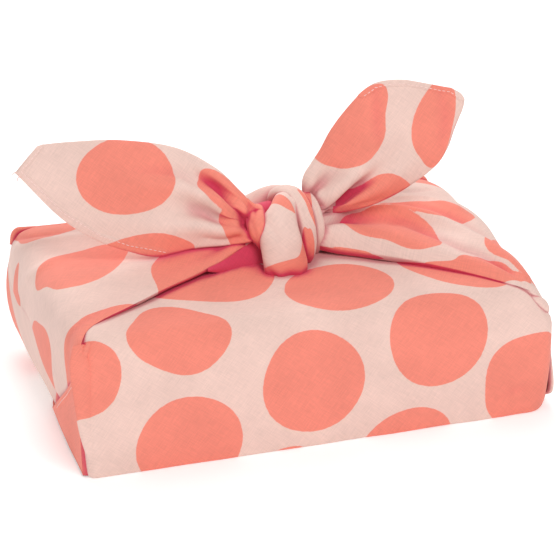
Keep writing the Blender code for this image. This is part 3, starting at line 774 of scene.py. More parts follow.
# each fold is a row of points: across, up, height (minus for a trough), width, all in mm
FOLDS = {
    "left_ear": [
        [(-24.5, 24.8, -0.8, 1.4), (-16.4, 18.9, -2.4, 1.6), (-8.2, 8.5, -2.6, 1.5), (-1.5, -1.6, -1.8, 1.3)],
        [(-25.1, 29.8, 0.8, 4), (-15.0, 23.6, 1.6, 4), (-6.4, 12.4, 1.8, 3), (-1.4, 4.4, 1.2, 2.5)],
        [(-18.9, 13.6, 1.0, 3.5), (-12.3, 5.7, 1.8, 2.6), (-5.8, -0.8, 1.4, 2.2)],
        [(1.6, 8.5, -0.9, 1.1), (0.6, 0.0, -1.1, 1.1), (1.2, -9.5, -0.9, 1.1)],
        [(-54.6, 27.3, -0.5, 5), (-41.7, 26.3, -1.1, 4), (-32.0, 23.8, -1.4, 4), (-24.4, 15.4, -1.0, 4)],
        [
            (-50.0, 19.9, 0.5, 6), (-35.6, 19.2, 0.9, 5), (-22.6, 10.3, 1.4, 4), (-11.4, 0.4, 1.8, 3),
            (-6.7, -4.4, 1.5, 2.2),
        ],
        [(-28.9, 6.4, -1.4, 3.5), (-21.7, 4.0, -1.6, 3), (-11.7, -2.0, -1.6, 2.5), (-6.2, -4.4, -1.8, 2)],
        [(-46.1, -1.5, 0.3, 7), (-27.6, -4.0, 0.9, 5), (-13.1, -7.1, 1.2, 3.5), (-5.8, -6.9, 1.3, 2.5)],
        [(-23.0, -8.9, -0.6, 2.0), (-14.2, -10.3, -1.0, 2.0), (-5.8, -9.3, -1.4, 1.8)],
    ],
    "right_ear": [
        [(37.1, 63.9, -0.8, 4), (37.2, 48.8, -0.9, 4), (37.4, 32.7, -0.5, 5)],
        [(12.3, 44.5, 0.5, 8), (20.6, 52.2, 0.5, 9), (28.0, 61.0, 0.3, 8)],
        [(51.4, 61.8, 0.4, 7), (49.5, 45.7, 0.5, 8), (46.8, 32.5, 0.3, 8)],
        [(72.8, 62.8, -0.6, 5), (75.1, 47.7, -0.8, 5), (72.5, 34.4, -0.6, 5)],
        [(-0.5, 4.7, -1.6, 1.4), (0.8, 9.7, -2.2, 1.5), (5.3, 15.1, -1.8, 1.8), (13.9, 22.8, -0.9, 3)],
        [
            (4.2, -0.4, 2.0, 2.2), (8.0, 5.6, 2.6, 2.6), (17.1, 13.7, 2.6, 3.0), (28.0, 21.4, 1.6, 4.0),
            (40.2, 27.4, 0.5, 6),
        ],
        [(6.2, -2.8, -2.0, 1.5), (14.9, 5.4, -2.8, 1.7), (22.7, 12.0, -2.2, 2.2), (33.6, 18.6, -0.8, 4)],
        [(13.0, 0.7, 1.2, 3), (22.3, 5.0, 1.4, 4), (35.3, 11.5, 1.0, 5), (48.6, 17.5, 0.5, 6)],
        [(4.2, 9.4, 1.0, 3), (1.4, 18.1, 0.8, 4), (3.0, 26.6, 0.4, 6)],
        [(11.0, -0.6, -0.8, 2), (21.3, 3.9, -0.8, 2.4), (41.3, 6.6, -0.8, 2.4), (59.2, 15.0, -0.5, 2.4)],
    ],
    "right_pull": [
        [
            (22.4, -14.6, 1.6, 3), (29.1, -12.8, 2.2, 3), (39.3, -9.2, 2.4, 3.2), (54.6, -6.1, 2.4, 3.5),
            (69.9, -4.7, 2.2, 4), (84.0, -9.5, 2.0, 4.5), (95.3, -18.7, 2.0, 5), (105.5, -35.1, 1.8, 5),
            (112.3, -56.9, 1.6, 4), (118.6, -73.8, 1.2, 3),
        ],
        [
            (21.6, -21.2, -2.0, 2.2), (37.7, -13.4, -2.2, 2.6), (54.7, -10.5, -1.4, 4),
            (68.5, -14.2, -1.0, 5), (81.4, -30.0, -1.8, 4), (91.4, -45.4, -2.4, 3.5),
            (101.9, -56.4, -2.2, 3.2), (109.0, -70.5, -1.6, 2.6), (113.6, -81.3, -1.0, 2.0),
        ],
        [(64.2, -16.4, -0.6, 3), (71.4, -13.0, -1.0, 3), (77.2, -16.0, -1.0, 3), (81.0, -24.9, -0.8, 3.5)],
        [
            (20.0, -22.5, 1.4, 4), (34.1, -23.2, 1.0, 5), (52.0, -29.9, 1.0, 5), (70.3, -41.9, 1.2, 5),
            (87.7, -55.6, 1.4, 4), (102.6, -67.9, 1.2, 3.5), (114.4, -79.7, 0.8, 2.5),
        ],
        [
            (27.4, -10.5, -1.4, 2.0), (43.1, -4.9, -1.8, 2.2), (58.2, -1.4, -1.8, 2.6), (73.1, 1.8, -1.6, 3),
            (90.0, -1.0, -1.4, 4), (102.4, -10.7, -1.6, 4), (112.8, -23.3, -1.4, 4), (120.6, -38.0, -1.2, 3),
        ],
        [
            (32.8, -1.6, 0.8, 2.5), (51.9, 5.3, 1.0, 3), (77.2, 14.5, 1.4, 3.2), (96.8, 14.4, 1.6, 4),
            (109.3, 1.0, 1.4, 5),
        ],
        [(72.9, 30.7, -0.9, 1.8), (95.0, 33.1, -1.2, 1.8), (110.9, 41.0, -1.2, 2)],
        [(89.4, -50.2, -0.5, 1.6), (100.1, -60.3, -0.7, 1.5), (111.4, -70.5, -0.8, 1.5)],
    ],
    "left_pull": [
        [
            (-27.3, -19.5, -1.2, 2), (-36.4, -23.5, -1.2, 3), (-51.8, -28.7, -0.8, 5),
            (-74.0, -36.5, -0.5, 7), (-99.1, -52.1, -0.3, 8),
        ],
        [(-27.8, -14.6, 0.8, 2.5), (-39.7, -16.8, 0.9, 4), (-58.1, -15.4, 0.6, 6), (-77.9, -10.4, 0.4, 8)],
        [(-139.2, 28.8, 0.3, 3), (-132.6, 16.2, 0.7, 3), (-124.0, 11.7, 0.6, 4), (-110.1, 14.9, 0.3, 6)],
        [
            (-131.2, 72.7, -1.0, 2), (-123.5, 57.2, -1.2, 2.5), (-110.8, 50.4, -1.0, 3),
            (-96.8, 48.4, -0.6, 4), (-60.0, 30.0, -0.6, 4), (-32.0, 8.0, -0.8, 2),
        ],
        [
            (-133.7, 62.5, 0.6, 3), (-126.6, 46.2, 0.9, 3.5), (-114.7, 39.8, 0.8, 4), (-99.8, 37.5, 0.5, 5),
            (-62.0, 18.0, 0.5, 5),
        ],
        [
            (-155.2, -62.1, -0.4, 4), (-139.7, -68.0, -0.6, 5), (-122.9, -66.5, -0.7, 5),
            (-108.7, -58.3, -0.6, 6),
        ],
    ],
    "body_wrap": [
        [(-70, 118, 0.8, 8), (-50, 128, 2.2, 9), (-34, 134, 3.4, 9), (-18, 138, 3.0, 9)],
        [(8, 146, 2.8, 8), (24, 140, 2.2, 8), (40, 134, 1.0, 7)],
        [(-81.6, 36.3, -0.35, 3), (-76.4, 38.8, -0.45, 3), (-71.2, 42.4, -0.3, 3)],
        [(-107.6, 40.1, 0.3, 5), (-100.4, 44.5, 0.5, 5), (-91.3, 47.5, 0.3, 5)],
        [(-103.3, 18.9, -0.4, 4), (-98.0, 26.2, -0.5, 4), (-92.8, 32.5, -0.3, 5)],
        [(-86.9, 28.4, 0.4, 4), (-80.6, 32.9, 0.5, 4), (-73.4, 36.1, 0.3, 4)],
        [(-71.8, 57.9, -0.35, 1.6), (-68.3, 54.7, -0.6, 1.6), (-65.3, 51.5, -0.35, 1.6)],
        [(-123.1, 45.7, -0.3, 2.0), (-117.3, 49.4, -0.45, 2.0), (-110.1, 54.8, -0.3, 2.5)],
        [(-37.1, 99.0, -0.6, 6), (-14.6, 102.9, -0.6, 7), (11.6, 100.4, -0.4, 8), (34.7, 88.9, -0.3, 8)],
        [(-90.3, 68.8, 0.5, 8), (-64.4, 74.4, 0.6, 9), (-32.9, 77.9, 0.4, 10)],
        [(96.6, 10.8, -0.6, 4), (105.0, 14.0, -0.9, 4), (113.6, 15.0, -0.7, 4)],
        [(101.2, 4.3, 0.5, 4), (109.7, 7.5, 0.7, 4), (121.3, 9.6, 0.5, 4)],
    ],
    "main_lobe": [
        [(4.5, 10.0, -0.8, 1.2), (6.0, 24.0, -1.0, 1.2), (7.5, 40.0, -0.9, 1.3), (6.5, 56.0, -0.6, 1.6)],
        [(1.5, 8.0, 0.5, 1.6), (2.5, 24.0, 0.6, 1.6), (4.0, 38.0, 0.5, 1.8)],
        [(-11.0, 24.0, -0.8, 1.4), (-8.0, 32.0, -0.8, 1.6), (-6.0, 42.0, -0.4, 2.0)],
        [(-14.0, 60.0, -0.8, 1.6), (-10.0, 68.0, -1.2, 1.6), (-7.0, 76.0, -1.0, 1.6)],
        [(-4.0, 62.0, -0.6, 1.4), (-2.0, 70.0, -1.0, 1.4), (-1.0, 78.0, -1.0, 1.4)],
        [(-9.0, 62.0, 0.8, 2.0), (-6.0, 70.0, 1.2, 2.0), (-4.0, 78.0, 1.0, 2.0)],
        [(3.0, 64.0, 0.6, 2.0), (3.0, 72.0, 0.9, 2.0), (2.0, 80.0, 0.8, 2.0)],
    ],
    "second_band": [
        [(4.0, -4.0, -0.5, 0.9), (7.0, 12.0, -0.7, 0.9), (9.5, 28.0, -0.6, 0.9), (10.5, 44.0, -0.4, 0.9)],
        [(8.0, -2.0, -0.4, 0.8), (10.5, 14.0, -0.5, 0.8), (13.0, 30.0, -0.4, 0.8)],
    ],
    "left_collar": [
        [(-20.0, 0.0, -0.8, 1.2), (-21.0, 16.0, -1.0, 1.4), (-18.0, 30.0, -0.8, 1.6)],
        [(-14.0, 6.0, -1.0, 1.4), (-16.0, 14.0, -1.2, 1.2), (-20.0, 22.0, -0.5, 1.6)],
    ],
    "right_collar": [
        [(17.0, 0.0, -0.5, 1.0), (18.5, 12.0, -0.7, 1.0), (19.0, 26.0, -0.5, 1.0)],
    ],
}


# pieces of the cloth that lie wholly in a deep fold, and how much painted shade each gets, as extra fold
# depth
SHADED = {"under_fold": 0.0065, "knot_back": 0.0012, "knot_core": 0.0065}


def press(sheet, lines):
    """Lifts a sheet along its normals by its fold lines. Rows are across, up, height, width in mm."""
    u, v = sheet["places"][..., 0], sheet["places"][..., 1]
    lift = WAVE_HEIGHT * soft_waves(u, v, WAVE_SEED, SHORTEST_WAVE, LONGEST_WAVE)
    strength = FOLD_STRENGTH.get(sheet["name"], 1.0)
    for rows in lines:
        table = smooth_rows(rows, FOLD_STEPS) * MM * (1, 1, strength, 1)
        best = np.full(u.shape, np.inf)
        high, wide = np.zeros(u.shape), np.ones(u.shape)
        for a, b, height, width in table:
            away = np.hypot(u - a, v - b)
            nearer = away < best
            best = np.where(nearer, away, best)
            high, wide = np.where(nearer, height, high), np.where(nearer, width, wide)
        share = best / wide
        ridge = np.exp(-(share**2))
        trough = np.exp(-np.sqrt(share**2 + TROUGH_ROUNDING**2) + TROUGH_ROUNDING)
        lift += high * np.where(high > 0, ridge, trough)
    # the depth in the folds, plus the painted shade of the SHADED pieces, is kept for the material's painted
    # shade
    sheet["depth"] = np.minimum(lift, 0) - SHADED.get(sheet["name"], 0.0)
    lift = np.maximum(lift, LOWEST_PRESS) if "ear" in sheet["name"] else lift
    sheet["points"] = sheet["points"] + sheet["normals"] * lift[..., None]
    sheet["points"][..., 2] = np.maximum(sheet["points"][..., 2], 0.0)


for sheet in SHEETS:
    press(sheet, FOLDS.get(sheet["name"], []))
print(sum(len(lines) for lines in FOLDS.values()), "folds pressed")

# %% [markdown]
# ## Dots
# The print is big round dots set on a slanted grid. It could be an image wrapped round the cloth, but its
# edges would blur close up. Here each point of the mesh gets its distance from the nearest edge of a dot,
# and the material draws a sharp line where that is nought. Dots that show in the photo are placed one by
# one, a little out of round as the cloth is pulled, and the grid fills the rest.

# %% Place the dots
# each dot: across, up, half width, half height in mm, turn in degrees, then how far its rim wanders
# from a true oval, as shares: three lobes (along, across), four lobes (along, across)
DOTS = {
    "front": [
        (-71.5, 12.5, 27.8, 24.7, 173, 0, 0.02, -0.01, 0.01),
        (-6.5, 36.6, 27.0, 28.7, 21, -0.01, -0.02, 0.01, 0),
        (61.3, 52.5, 27.0, 29.0, 26, 0.01, -0.01, 0, 0.01),
        (113.7, 22.0, 24.3, 27.4, 124, 0.01, 0, 0.02, 0.04),
        (45.4, -10.4, 27.4, 23.4, 20, 0, 0.01, 0, 0),
        (-128.0, 57.1, 21.8, 24.1, 47, 0, 0, 0.01, -0.02),
        (-75.0, 74.9, 27.0, 23.5, 135, -0.03, -0.03, -0.04, -0.02),
        (17.3, 101.7, 30, 25.6, 20, 0, 0, 0, 0),
        (84.9, 109.3, 32.1, 22.2, 131, 0.01, 0.03, -0.01, 0.01),
        (-45.2, 123.6, 34.3, 23.3, 177, 0.03, 0, 0.02, 0.04),
    ],
    "left_pull": [
        (-108.2, -4.5, 27.4, 22.0, 27, 0.13, 0.01, -0.02, 0.04),
        (-113.6, 72.8, 29.2, 19.6, 90, 0.03, 0.06, -0.02, -0.09),
        (-129.9, -85.8, 40.5, 28.5, 14, 0.08, 0.08, -0.09, 0.12),
        (-50.7, -37.8, 31.5, 24.6, 31, 0.01, -0.04, 0.02, 0.05),
        (-167.4, 55.5, 29.3, 10.8, 153, 0.04, -0.08, -0.02, 0.14),
        (-167.8, -10.1, 27.5, 20.0, 118, -0.01, -0.05, 0.03, 0.05),
    ],
    "left_ear": [
        (-62.0, 25.5, 25.4, 21.3, 1, -0.01, -0.03, 0, -0.01),
        (-64.2, -17.6, 34.7, 10.4, 10, 0.02, -0.01, 0, -0.05),
        (-12.0, 14.1, 16.8, 7.1, 140, -0.03, -0.03, -0.05, -0.03),
        (11.3, -13.3, 16.9, 29.5, 52, 0, -0.02, 0.04, 0.02),
        (-119.3, 77.1, 25.0, 25.0, 6, 0, 0, 0, 0),
        (3.0, -1.0, 7.0, 13.0, 0, 0, 0, 0, 0),
    ],
    "right_ear": [
        (25.2, 43.4, 25.7, 14.2, 49, 0.09, 0.11, 0.01, 0.03),
        (68.7, 46.4, 23.9, 11.4, 76, 0.03, -0.06, 0, 0.02),
        (42.4, -6.4, 29.5, 22.6, 141, -0.01, 0.05, -0.03, 0.06),
    ],
    "right_pull": [
        (63.7, -23.1, 26.3, 17.0, 157, 0.10, 0.13, -0.02, 0.04),
        (93.0, -3.3, 26.5, 11.1, 170, 0.09, 0.01, 0.04, 0.03),
        (130.1, -47.2, 28.5, 21.2, 57, -0.03, -0.05, -0.05, 0.09),
        (92.0, -65.4, 29.0, 9.0, 155, 0.15, -0.03, 0.21, -0.05),
        (16.9, -30.5, 36.3, 4.8, 163, 0, 0.01, -0.04, -0.06),
    ],
    "end_strip": [
        (-55.0, 28.0, 70.0, 70.0, 0, 0, 0, 0, 0),
    ],
    "main_lobe": [
        (8.8, 65.2, 19.1, 31.6, 8, -0.13, 0.08, 0.16, 0.03),
        (-17.1, -6.1, 32.3, 5.6, 49, -0.01, 0.04, 0.04, 0.08),
    ],
    "second_band": [
        (10.5, 48.2, 3.3, 20.6, 178, -0.04, 0.02, -0.09, 0.01),
        (23.5, 37.4, 4.0, 30.9, 154, 0.06, -0.01, 0, 0.08),
    ],
    "left_collar": [
        (-16.0, 22.0, 14.0, 40.0, 0, 0, 0, 0, 0),
        (-16.0, -178.0, 14.0, 60.0, 0, 0, 0, 0, 0),
    ],
    "right_collar": [
        (23.0, -23.1, 3.0, 37.5, 13, -0.01, -0.03, 0.02, -0.04),
    ],
    # the under fold and the knot's core are wholly coral, and SHADED paints both in full shade, a dark
    # crimson
    "under_fold": [(-28.0, 4.0, 40.0, 40.0, 0, 0, 0, 0, 0)],
    "knot_core": [(0.0, 45.0, 150.0, 150.0, 0, 0, 0, 0, 0)],
    "back_left_tuck": [(-114.0, 238.0, 32.0, 32.0, 0, 0, 0, 0, 0)],
}
DOT_HALF = 27.5
FREE_REACH = 63.0
BARE_PANELS = ("knot_back", "knot_core", "right_collar", "main_lobe", "second_band", "left_collar")
LATTICE = ((67.0, 20.0), (12.0, 62.0))
LATTICE_START = (-6.4, 36.6)
LATTICE_REACH = 9
PANEL_SHIFT, PANEL_SHIFTS = 13.0, 5
FAR_OUTSIDE = -60.0


def print_dots(panel):
    """The placed dots of a panel, and the regular print wherever no placed dot is near."""
    placed = DOTS.get(panel, [])
    shift = 0.0 if panel == "front" else (len(panel) % PANEL_SHIFTS) * PANEL_SHIFT
    dots = list(placed)
    if panel in BARE_PANELS:
        return dots
    for i in range(-LATTICE_REACH, LATTICE_REACH + 1):
        for j in range(-LATTICE_REACH, LATTICE_REACH + 1):
            x = LATTICE_START[0] + i * LATTICE[0][0] + j * LATTICE[1][0] + shift
            y = LATTICE_START[1] + i * LATTICE[0][1] + j * LATTICE[1][1]
            if all(math.hypot(x - a, y - b) > FREE_REACH for a, b, *_ in placed):
                dots.append((x, y, DOT_HALF, DOT_HALF, 0, 0, 0, 0, 0))
    return dots


def dot_edge(sheet):
    """How far inside a dot each point lies, in metres, and negative outside."""
    u, v = sheet["places"][..., 0] / MM, sheet["places"][..., 1] / MM
    inside = np.full(u.shape, FAR_OUTSIDE)
    for a, b, half_across, half_up, turn, *lobes in print_dots(sheet["panel"]):
        c, s = math.cos(math.radians(turn)), math.sin(math.radians(turn))
        x, y = (u - a) * c + (v - b) * s, (v - b) * c - (u - a) * s
        way = np.arctan2(y / half_up, x / half_across)
        rim = 1 + lobes[0] * np.cos(3 * way) + lobes[1] * np.sin(3 * way)
        rim += lobes[2] * np.cos(4 * way) + lobes[3] * np.sin(4 * way)
        share = np.hypot(x / half_across, y / half_up) / rim
        inside = np.maximum(inside, (1 - share) * np.hypot(x, y) / np.maximum(share, 1e-6))
    return inside * MM


for sheet in SHEETS:
    sheet["dot"] = dot_edge(sheet)
print(sum(len(rows) for rows in DOTS.values()), "placed dots")

# %% [markdown]
# ## Hems
# The square has a narrow hem, turned twice and stitched a little way in. On the ears and on the left end it
# shows as a line, so each point gets its distance from the cut edge, and the cotton thickens along it.

# %% Find the hems
HEM_WIDTH, STITCH_INSET, HEM_LIFT = 0.0034, 0.0024, 0.00030
HEM_STEPS, SEAM_STEPS = 60, 30
HEM_EDGE, FAR_FROM_HEM = 0.0008, 0.02
CLEAR_SHARE = 0.97
# the cut edge of each sheet, as print places in mm, and a place on the cloth beside it
HEM_LINES = {
    "left_ear": (
        [(-45.0, -17.2), (-62.8, -12.9), (-78.0, -7.0), (-97.0, 6.6), (-118.4, 30.8), (-106.4, 44.2)],
        (-80.0, 25.0),
    ),
    "right_ear": (
        [(30.6, 64.2), (36.8, 68.6), (44.7, 70.0), (54.0, 69.8), (79.0, 65.0), (84.6, 61.0)],
        (50.0, 45.0),
    ),
    "end_strip": ([(-83.5, 58.3), (-79.5, 54.4), (-70.0, 45.6), (-60.0, 36.9), (-40.0, 21.5)], (-75.0, 20.0)),
}


def smooth_line(line, per_span):
    """A corner keeps its point: the line is only filled in, not rounded."""
    table = np.array(line) * MM
    share = np.linspace(0, 1, per_span, endpoint=False)[:, None]
    parts = [a + (b - a) * share for a, b in zip(table, table[1:])]
    return np.vstack([*parts, table[-1:]])


def inset_line(line, beside, distance):
    """The line moved this far into the cloth."""
    points = smooth_line(line, SEAM_STEPS)
    tangent = np.gradient(points, axis=0)
    tangent /= np.linalg.norm(tangent, axis=1, keepdims=True)
    across = np.stack([-tangent[:, 1], tangent[:, 0]], 1)
    if ((np.array(beside) * MM - points) * across).sum() < 0:
        across = -across
    moved = points + across * distance
    clear = [np.hypot(*(points - p).T).min() > CLEAR_SHARE * distance for p in moved]
    return moved[clear]


for sheet in SHEETS:
    away = np.full(sheet["places"].shape[:2], FAR_FROM_HEM)
    if sheet["name"] in HEM_LINES:
        for a, b in smooth_line(HEM_LINES[sheet["name"]][0], HEM_STEPS):
            away = np.minimum(away, np.hypot(sheet["places"][..., 0] - a, sheet["places"][..., 1] - b))
        lift = HEM_LIFT * np.clip((HEM_WIDTH - away) / HEM_EDGE + 0.5, 0, 1)
        sheet["points"] = sheet["points"] + sheet["normals"] * lift[..., None]
    sheet["hem"] = away
print(len(HEM_LINES), "hem lines")

# %% [markdown]
# ## One mesh
# All sheets become one mesh, because it is one cloth. A closed sheet such as an ear ends in an open ring, so
# a face is laid over each end and turned to point outwards.

# %% Close the ends
def sheet_caps(sheet, index):
    """One face over each end of a closed ring. A layer inside keeps its lower cut edge open."""
    if not sheet["ring"]:
        return []
    made = []
    for end, beside in ((0, 1), (-1, -2)):
        if end == 0 and sheet["name"] in INNER_LAYERS:
            continue
        ring = sheet["points"][end]
        outward = ring.mean(axis=0) - sheet["points"][beside].mean(axis=0)
        facing = np.cross(ring, np.roll(ring, -1, axis=0)).sum(axis=0)
        order = index[end] if facing @ outward > 0 else index[end][::-1]
        made.append(order.tolist())
    return made


# %% [markdown]
# Blender's Join would also do. The faces are numbered here directly, so that what is known about each point,
# its dot, its fold and its hem, stays in step with it.

# %% Sew the sheets into one mesh
caps = []
vertices, faces, dot_values, depth_values, hem_values, flat_places = [], [], [], [], [], []
first = 0
for sheet in SHEETS:
    rows, count = sheet["points"].shape[:2]
    index = first + np.arange(rows * count).reshape(rows, count)
    sheet["first"] = first
    if sheet["ring"]:
        right = np.roll(index, -1, axis=1)
        quads = np.stack([index[:-1], right[:-1], right[1:], index[1:]], -1).reshape(-1, 4)
    else:
        quads = np.stack([index[:-1, :-1], index[:-1, 1:], index[1:, 1:], index[1:, :-1]], -1).reshape(-1, 4)
    flat_points = sheet["points"].reshape(-1, 3)
    a, b, c = (flat_points[quads[:, k] - first] for k in (0, 1, 2))
    if (np.cross(b - a, c - b) * sheet["normals"].reshape(-1, 3)[quads[:, 0] - first]).sum() < 0:
        quads = quads[:, ::-1]
    vertices.append(flat_points)
    faces.append(quads)
    caps += sheet_caps(sheet, index)
    dot_values.append(sheet["dot"].ravel())
    depth_values.append(sheet["depth"].ravel())
    hem_values.append(sheet["hem"].ravel())
    flat_places.append(sheet["places"].reshape(-1, 2))
    first += rows * count
vertices, faces = np.vstack(vertices), np.vstack(faces)
flat_places = np.vstack(flat_places)

cloth_mesh = bpy.data.meshes.new("spotted_cloth")
cloth_mesh.from_pydata(vertices.tolist(), [], faces.tolist() + caps)
for label, values in (("dot_edge", dot_values), ("fold_shade_depth", depth_values), ("hem_edge", hem_values)):
    attribute = cloth_mesh.attributes.new(label, "FLOAT", "POINT")
    attribute.data.foreach_set("value", np.concatenate(values).astype(np.float32))
print_map = cloth_mesh.uv_layers.new(name="print_place")
corner_points = np.zeros(len(cloth_mesh.loops), int)
cloth_mesh.loops.foreach_get("vertex_index", corner_points)
print_map.data.foreach_set("uv", flat_places[corner_points].ravel())
cloth_mesh.polygons.foreach_set("use_smooth", np.ones(len(faces) + len(caps), bool))
cloth = add_object("spotted_cloth", cloth_mesh)
print(len(vertices), "points,", 2 * len(faces) + sum(len(cap) - 2 for cap in caps), "triangles")

# %% [markdown]
# ## Shelter
# Under a fold or beside the knot, light comes in only after it has bounced off coral cotton. How sheltered
# a point is can be measured: short rays go out from it, and each that meets cloth counts, nearer ones more.
# This is kept with the cloth, as its fold depth is, and the material paints shade from it wherever it goes.

# %% Measure the shelter
SHELTER_REACH, SHELTER_RAYS, SHELTER_START = 0.024, 18, 0.0005
NEARLY_UPRIGHT, SOFTENINGS = 0.9, 2


def ray_fan(count):
    """Directions over a half sphere about +Z, closest together near the pole, along a fixed spiral."""
    step = (np.arange(count) + 0.5) / count
    turn = np.arange(count) * math.pi * (3 - math.sqrt(5))
    return np.stack([np.sqrt(step) * np.cos(turn), np.sqrt(step) * np.sin(turn), np.sqrt(1 - step)], 1)


def softened(grid, ring):
    """A grid with each value shared with its neighbours, which takes the grain out of it."""
    padded = np.pad(grid, ((1, 1), (0, 0)), mode="edge")
    grid = (padded[:-2] + 2 * padded[1:-1] + padded[2:]) / 4
    padded = np.pad(grid, ((0, 0), (1, 1)), mode="wrap" if ring else "edge")
    return (padded[:, :-2] + 2 * padded[:, 1:-1] + padded[:, 2:]) / 4


FLAT_ROLLS = ("front_left_fold", "corner_tuck")
shades = np.ones(len(faces), bool)
for sheet in SHEETS:
    if sheet["name"] in FLAT_ROLLS:
        first, last = sheet["first"], sheet["first"] + sheet["dot"].size
        shades &= (faces[:, 0] < first) | (faces[:, 0] >= last)
sheltering = faces[shades]
tree_of_cloth = BVHTree.FromPolygons(vertices.tolist(), sheltering.tolist())
out_ways = np.zeros(3 * len(vertices), np.float32)
cloth_mesh.vertex_normals.foreach_get("vector", out_ways)
out_ways = out_ways.reshape(-1, 3)
fan = ray_fan(SHELTER_RAYS)
shelter = []
for sheet in SHEETS:
    count = sheet["points"].shape[0] * sheet["points"].shape[1]
    values = np.zeros(count)
    if sheet["name"] not in INNER_LAYERS and sheet["name"] not in FLAT_ROLLS:
        for k in range(count):
            way = out_ways[sheet["first"] + k]
            side = np.cross(way, (0.0, 0.0, 1.0) if abs(way[2]) < NEARLY_UPRIGHT else (1.0, 0.0, 0.0))
            side /= np.linalg.norm(side)
            rays = fan @ np.array([side, np.cross(way, side), way])
            start = Vector(vertices[sheet["first"] + k] + way * SHELTER_START)
            for ray in rays.tolist():
                away = tree_of_cloth.ray_cast(start, ray, SHELTER_REACH)[3]
                if away is not None:
                    values[k] += 1 - away / SHELTER_REACH
    grid = values.reshape(sheet["points"].shape[:2]) / SHELTER_RAYS
    for _ in range(SOFTENINGS):
        grid = softened(grid, sheet["ring"])
    shelter.append(grid.ravel())
# the shelter of each point, from which the material paints shade into the colour
attribute = cloth_mesh.attributes.new("shelter", "FLOAT", "POINT")
attribute.data.foreach_set("value", np.concatenate(shelter).astype(np.float32))
print("most sheltered point:", round(float(np.concatenate(shelter).max()), 2))

# %% [markdown]
# ## Cotton
# Plain weave: threads cross at right angles, and because the square is wrapped corner to corner they run
# aslant on the front. Thicker threads, called slubs, show as faint streaks along both directions. The weave
# is a node group, because the cloth and the stitching thread both use it. It reads the flat print place, so
# the streaks bend round every fold with the cloth.

# %% Weave group
TO_MM = (1000.0, 1000.0, 1000.0)
THREAD_PITCH = 0.62
SLUB_LENGTH = 8.0


def node(tree, kind, **settings):
    made = tree.nodes.new(kind)
    for key, value in settings.items():
        setattr(made, key, value)
    return made


def arithmetic(tree, operation, first, second=None, clamp=False):
    made = node(tree, "ShaderNodeMath", operation=operation, use_clamp=clamp)
    for socket, value in zip(made.inputs, (first, second)):
        if isinstance(value, (int, float)):
            socket.default_value = value
        elif value is not None:
            tree.links.new(value, socket)
    return made.outputs[0]


def new_tree(name, kind, sockets):
    """An empty node tree with named sockets, and the nodes at its two ends."""
    tree = bpy.data.node_groups.new(name, kind)
    for label, way, holds in sockets:
        tree.interface.new_socket(label, in_out=way, socket_type="NodeSocket" + holds)
    return tree, tree.nodes.new("NodeGroupInput"), tree.nodes.new("NodeGroupOutput")


def weave_group():
    """Place in mm goes in; the height of the threads and the light and dark of the slubs come out."""
    sockets = [("Place", "INPUT", "Vector")]
    sockets += [(label, "INPUT", "Float") for label in ("Thread Pitch", "Slub Length")]
    sockets += [(label, "OUTPUT", "Float") for label in ("Height", "Streaks")]
    group, entry, leave = new_tree("plain_weave", "ShaderNodeTree", sockets)
    aslant = node(group, "ShaderNodeMapping")
    aslant.inputs["Rotation"].default_value = (0.0, 0.0, math.radians(38))
    group.links.new(entry.outputs["Place"], aslant.inputs["Vector"])
    split = node(group, "ShaderNodeSeparateXYZ")
    group.links.new(aslant.outputs[0], split.inputs[0])
    streaks, threads = [], []
    for along, across in (("X", "Y"), ("Y", "X")):
        stretched = node(group, "ShaderNodeCombineXYZ")
        long_way = arithmetic(group, "DIVIDE", split.outputs[along], entry.outputs["Slub Length"])
        thin_way = arithmetic(group, "DIVIDE", split.outputs[across], entry.outputs["Thread Pitch"])
        group.links.new(long_way, stretched.inputs["X"])
        group.links.new(thin_way, stretched.inputs["Y"])
        slub = node(group, "ShaderNodeTexNoise", noise_dimensions="2D")
        fill(slub, {"Scale": 1.0, "Detail": 2.0})
        group.links.new(stretched.outputs[0], slub.inputs["Vector"])
        streaks.append(slub.outputs["Fac"])
        turn = arithmetic(group, "MULTIPLY", thin_way, math.pi)
        threads.append(arithmetic(group, "ABSOLUTE", arithmetic(group, "SINE", turn)))
    both = arithmetic(group, "MULTIPLY", arithmetic(group, "ADD", streaks[0], streaks[1]), 0.5)
    woven = arithmetic(group, "MAXIMUM", threads[0], threads[1])
    height = arithmetic(group, "ADD", arithmetic(group, "MULTIPLY", woven, 0.4), both)
    group.links.new(height, leave.inputs["Height"])
    group.links.new(both, leave.inputs["Streaks"])
    return group


WEAVE = weave_group()
print("group:", WEAVE.name)

# %% [markdown]
# The print is two flat colours. Deep in a fold, and where other cloth shelters it, shade is painted into
# the colour: darker and redder, as where light has bounced between coral walls. The hem is raised a
# little because three layers lie there.

# %% Cotton material
GROUND_COLOUR = (0.835, 0.590, 0.520, 1.0)
DOT_COLOUR = (0.890, 0.258, 0.190, 1.0)
# cream and coral in full painted shade, and the fold depth and shelter over which the painted shade comes in
GROUND_IN_PAINTED_SHADE = (0.690, 0.300, 0.300, 1.0)
DOT_IN_PAINTED_SHADE = (0.680, 0.055, 0.115, 1.0)
EDGE_SOFTNESS = 0.00020
FULL_DEPTH = 0.0065
SHELTER_SPAN = (0.08, 0.48)


def attribute_value(tree, label):
    return node(tree, "ShaderNodeAttribute", attribute_name=label).outputs["Fac"]


def ramp(tree, value, low, high, to_low=0.0, to_high=1.0, smooth=False):
    made = node(tree, "ShaderNodeMapRange", interpolation_type="SMOOTHSTEP" if smooth else "LINEAR")
    for label, number in (("From Min", low), ("From Max", high), ("To Min", to_low), ("To Max", to_high)):
        made.inputs[label].default_value = number
    tree.links.new(value, made.inputs["Value"])
    return made.outputs["Result"]


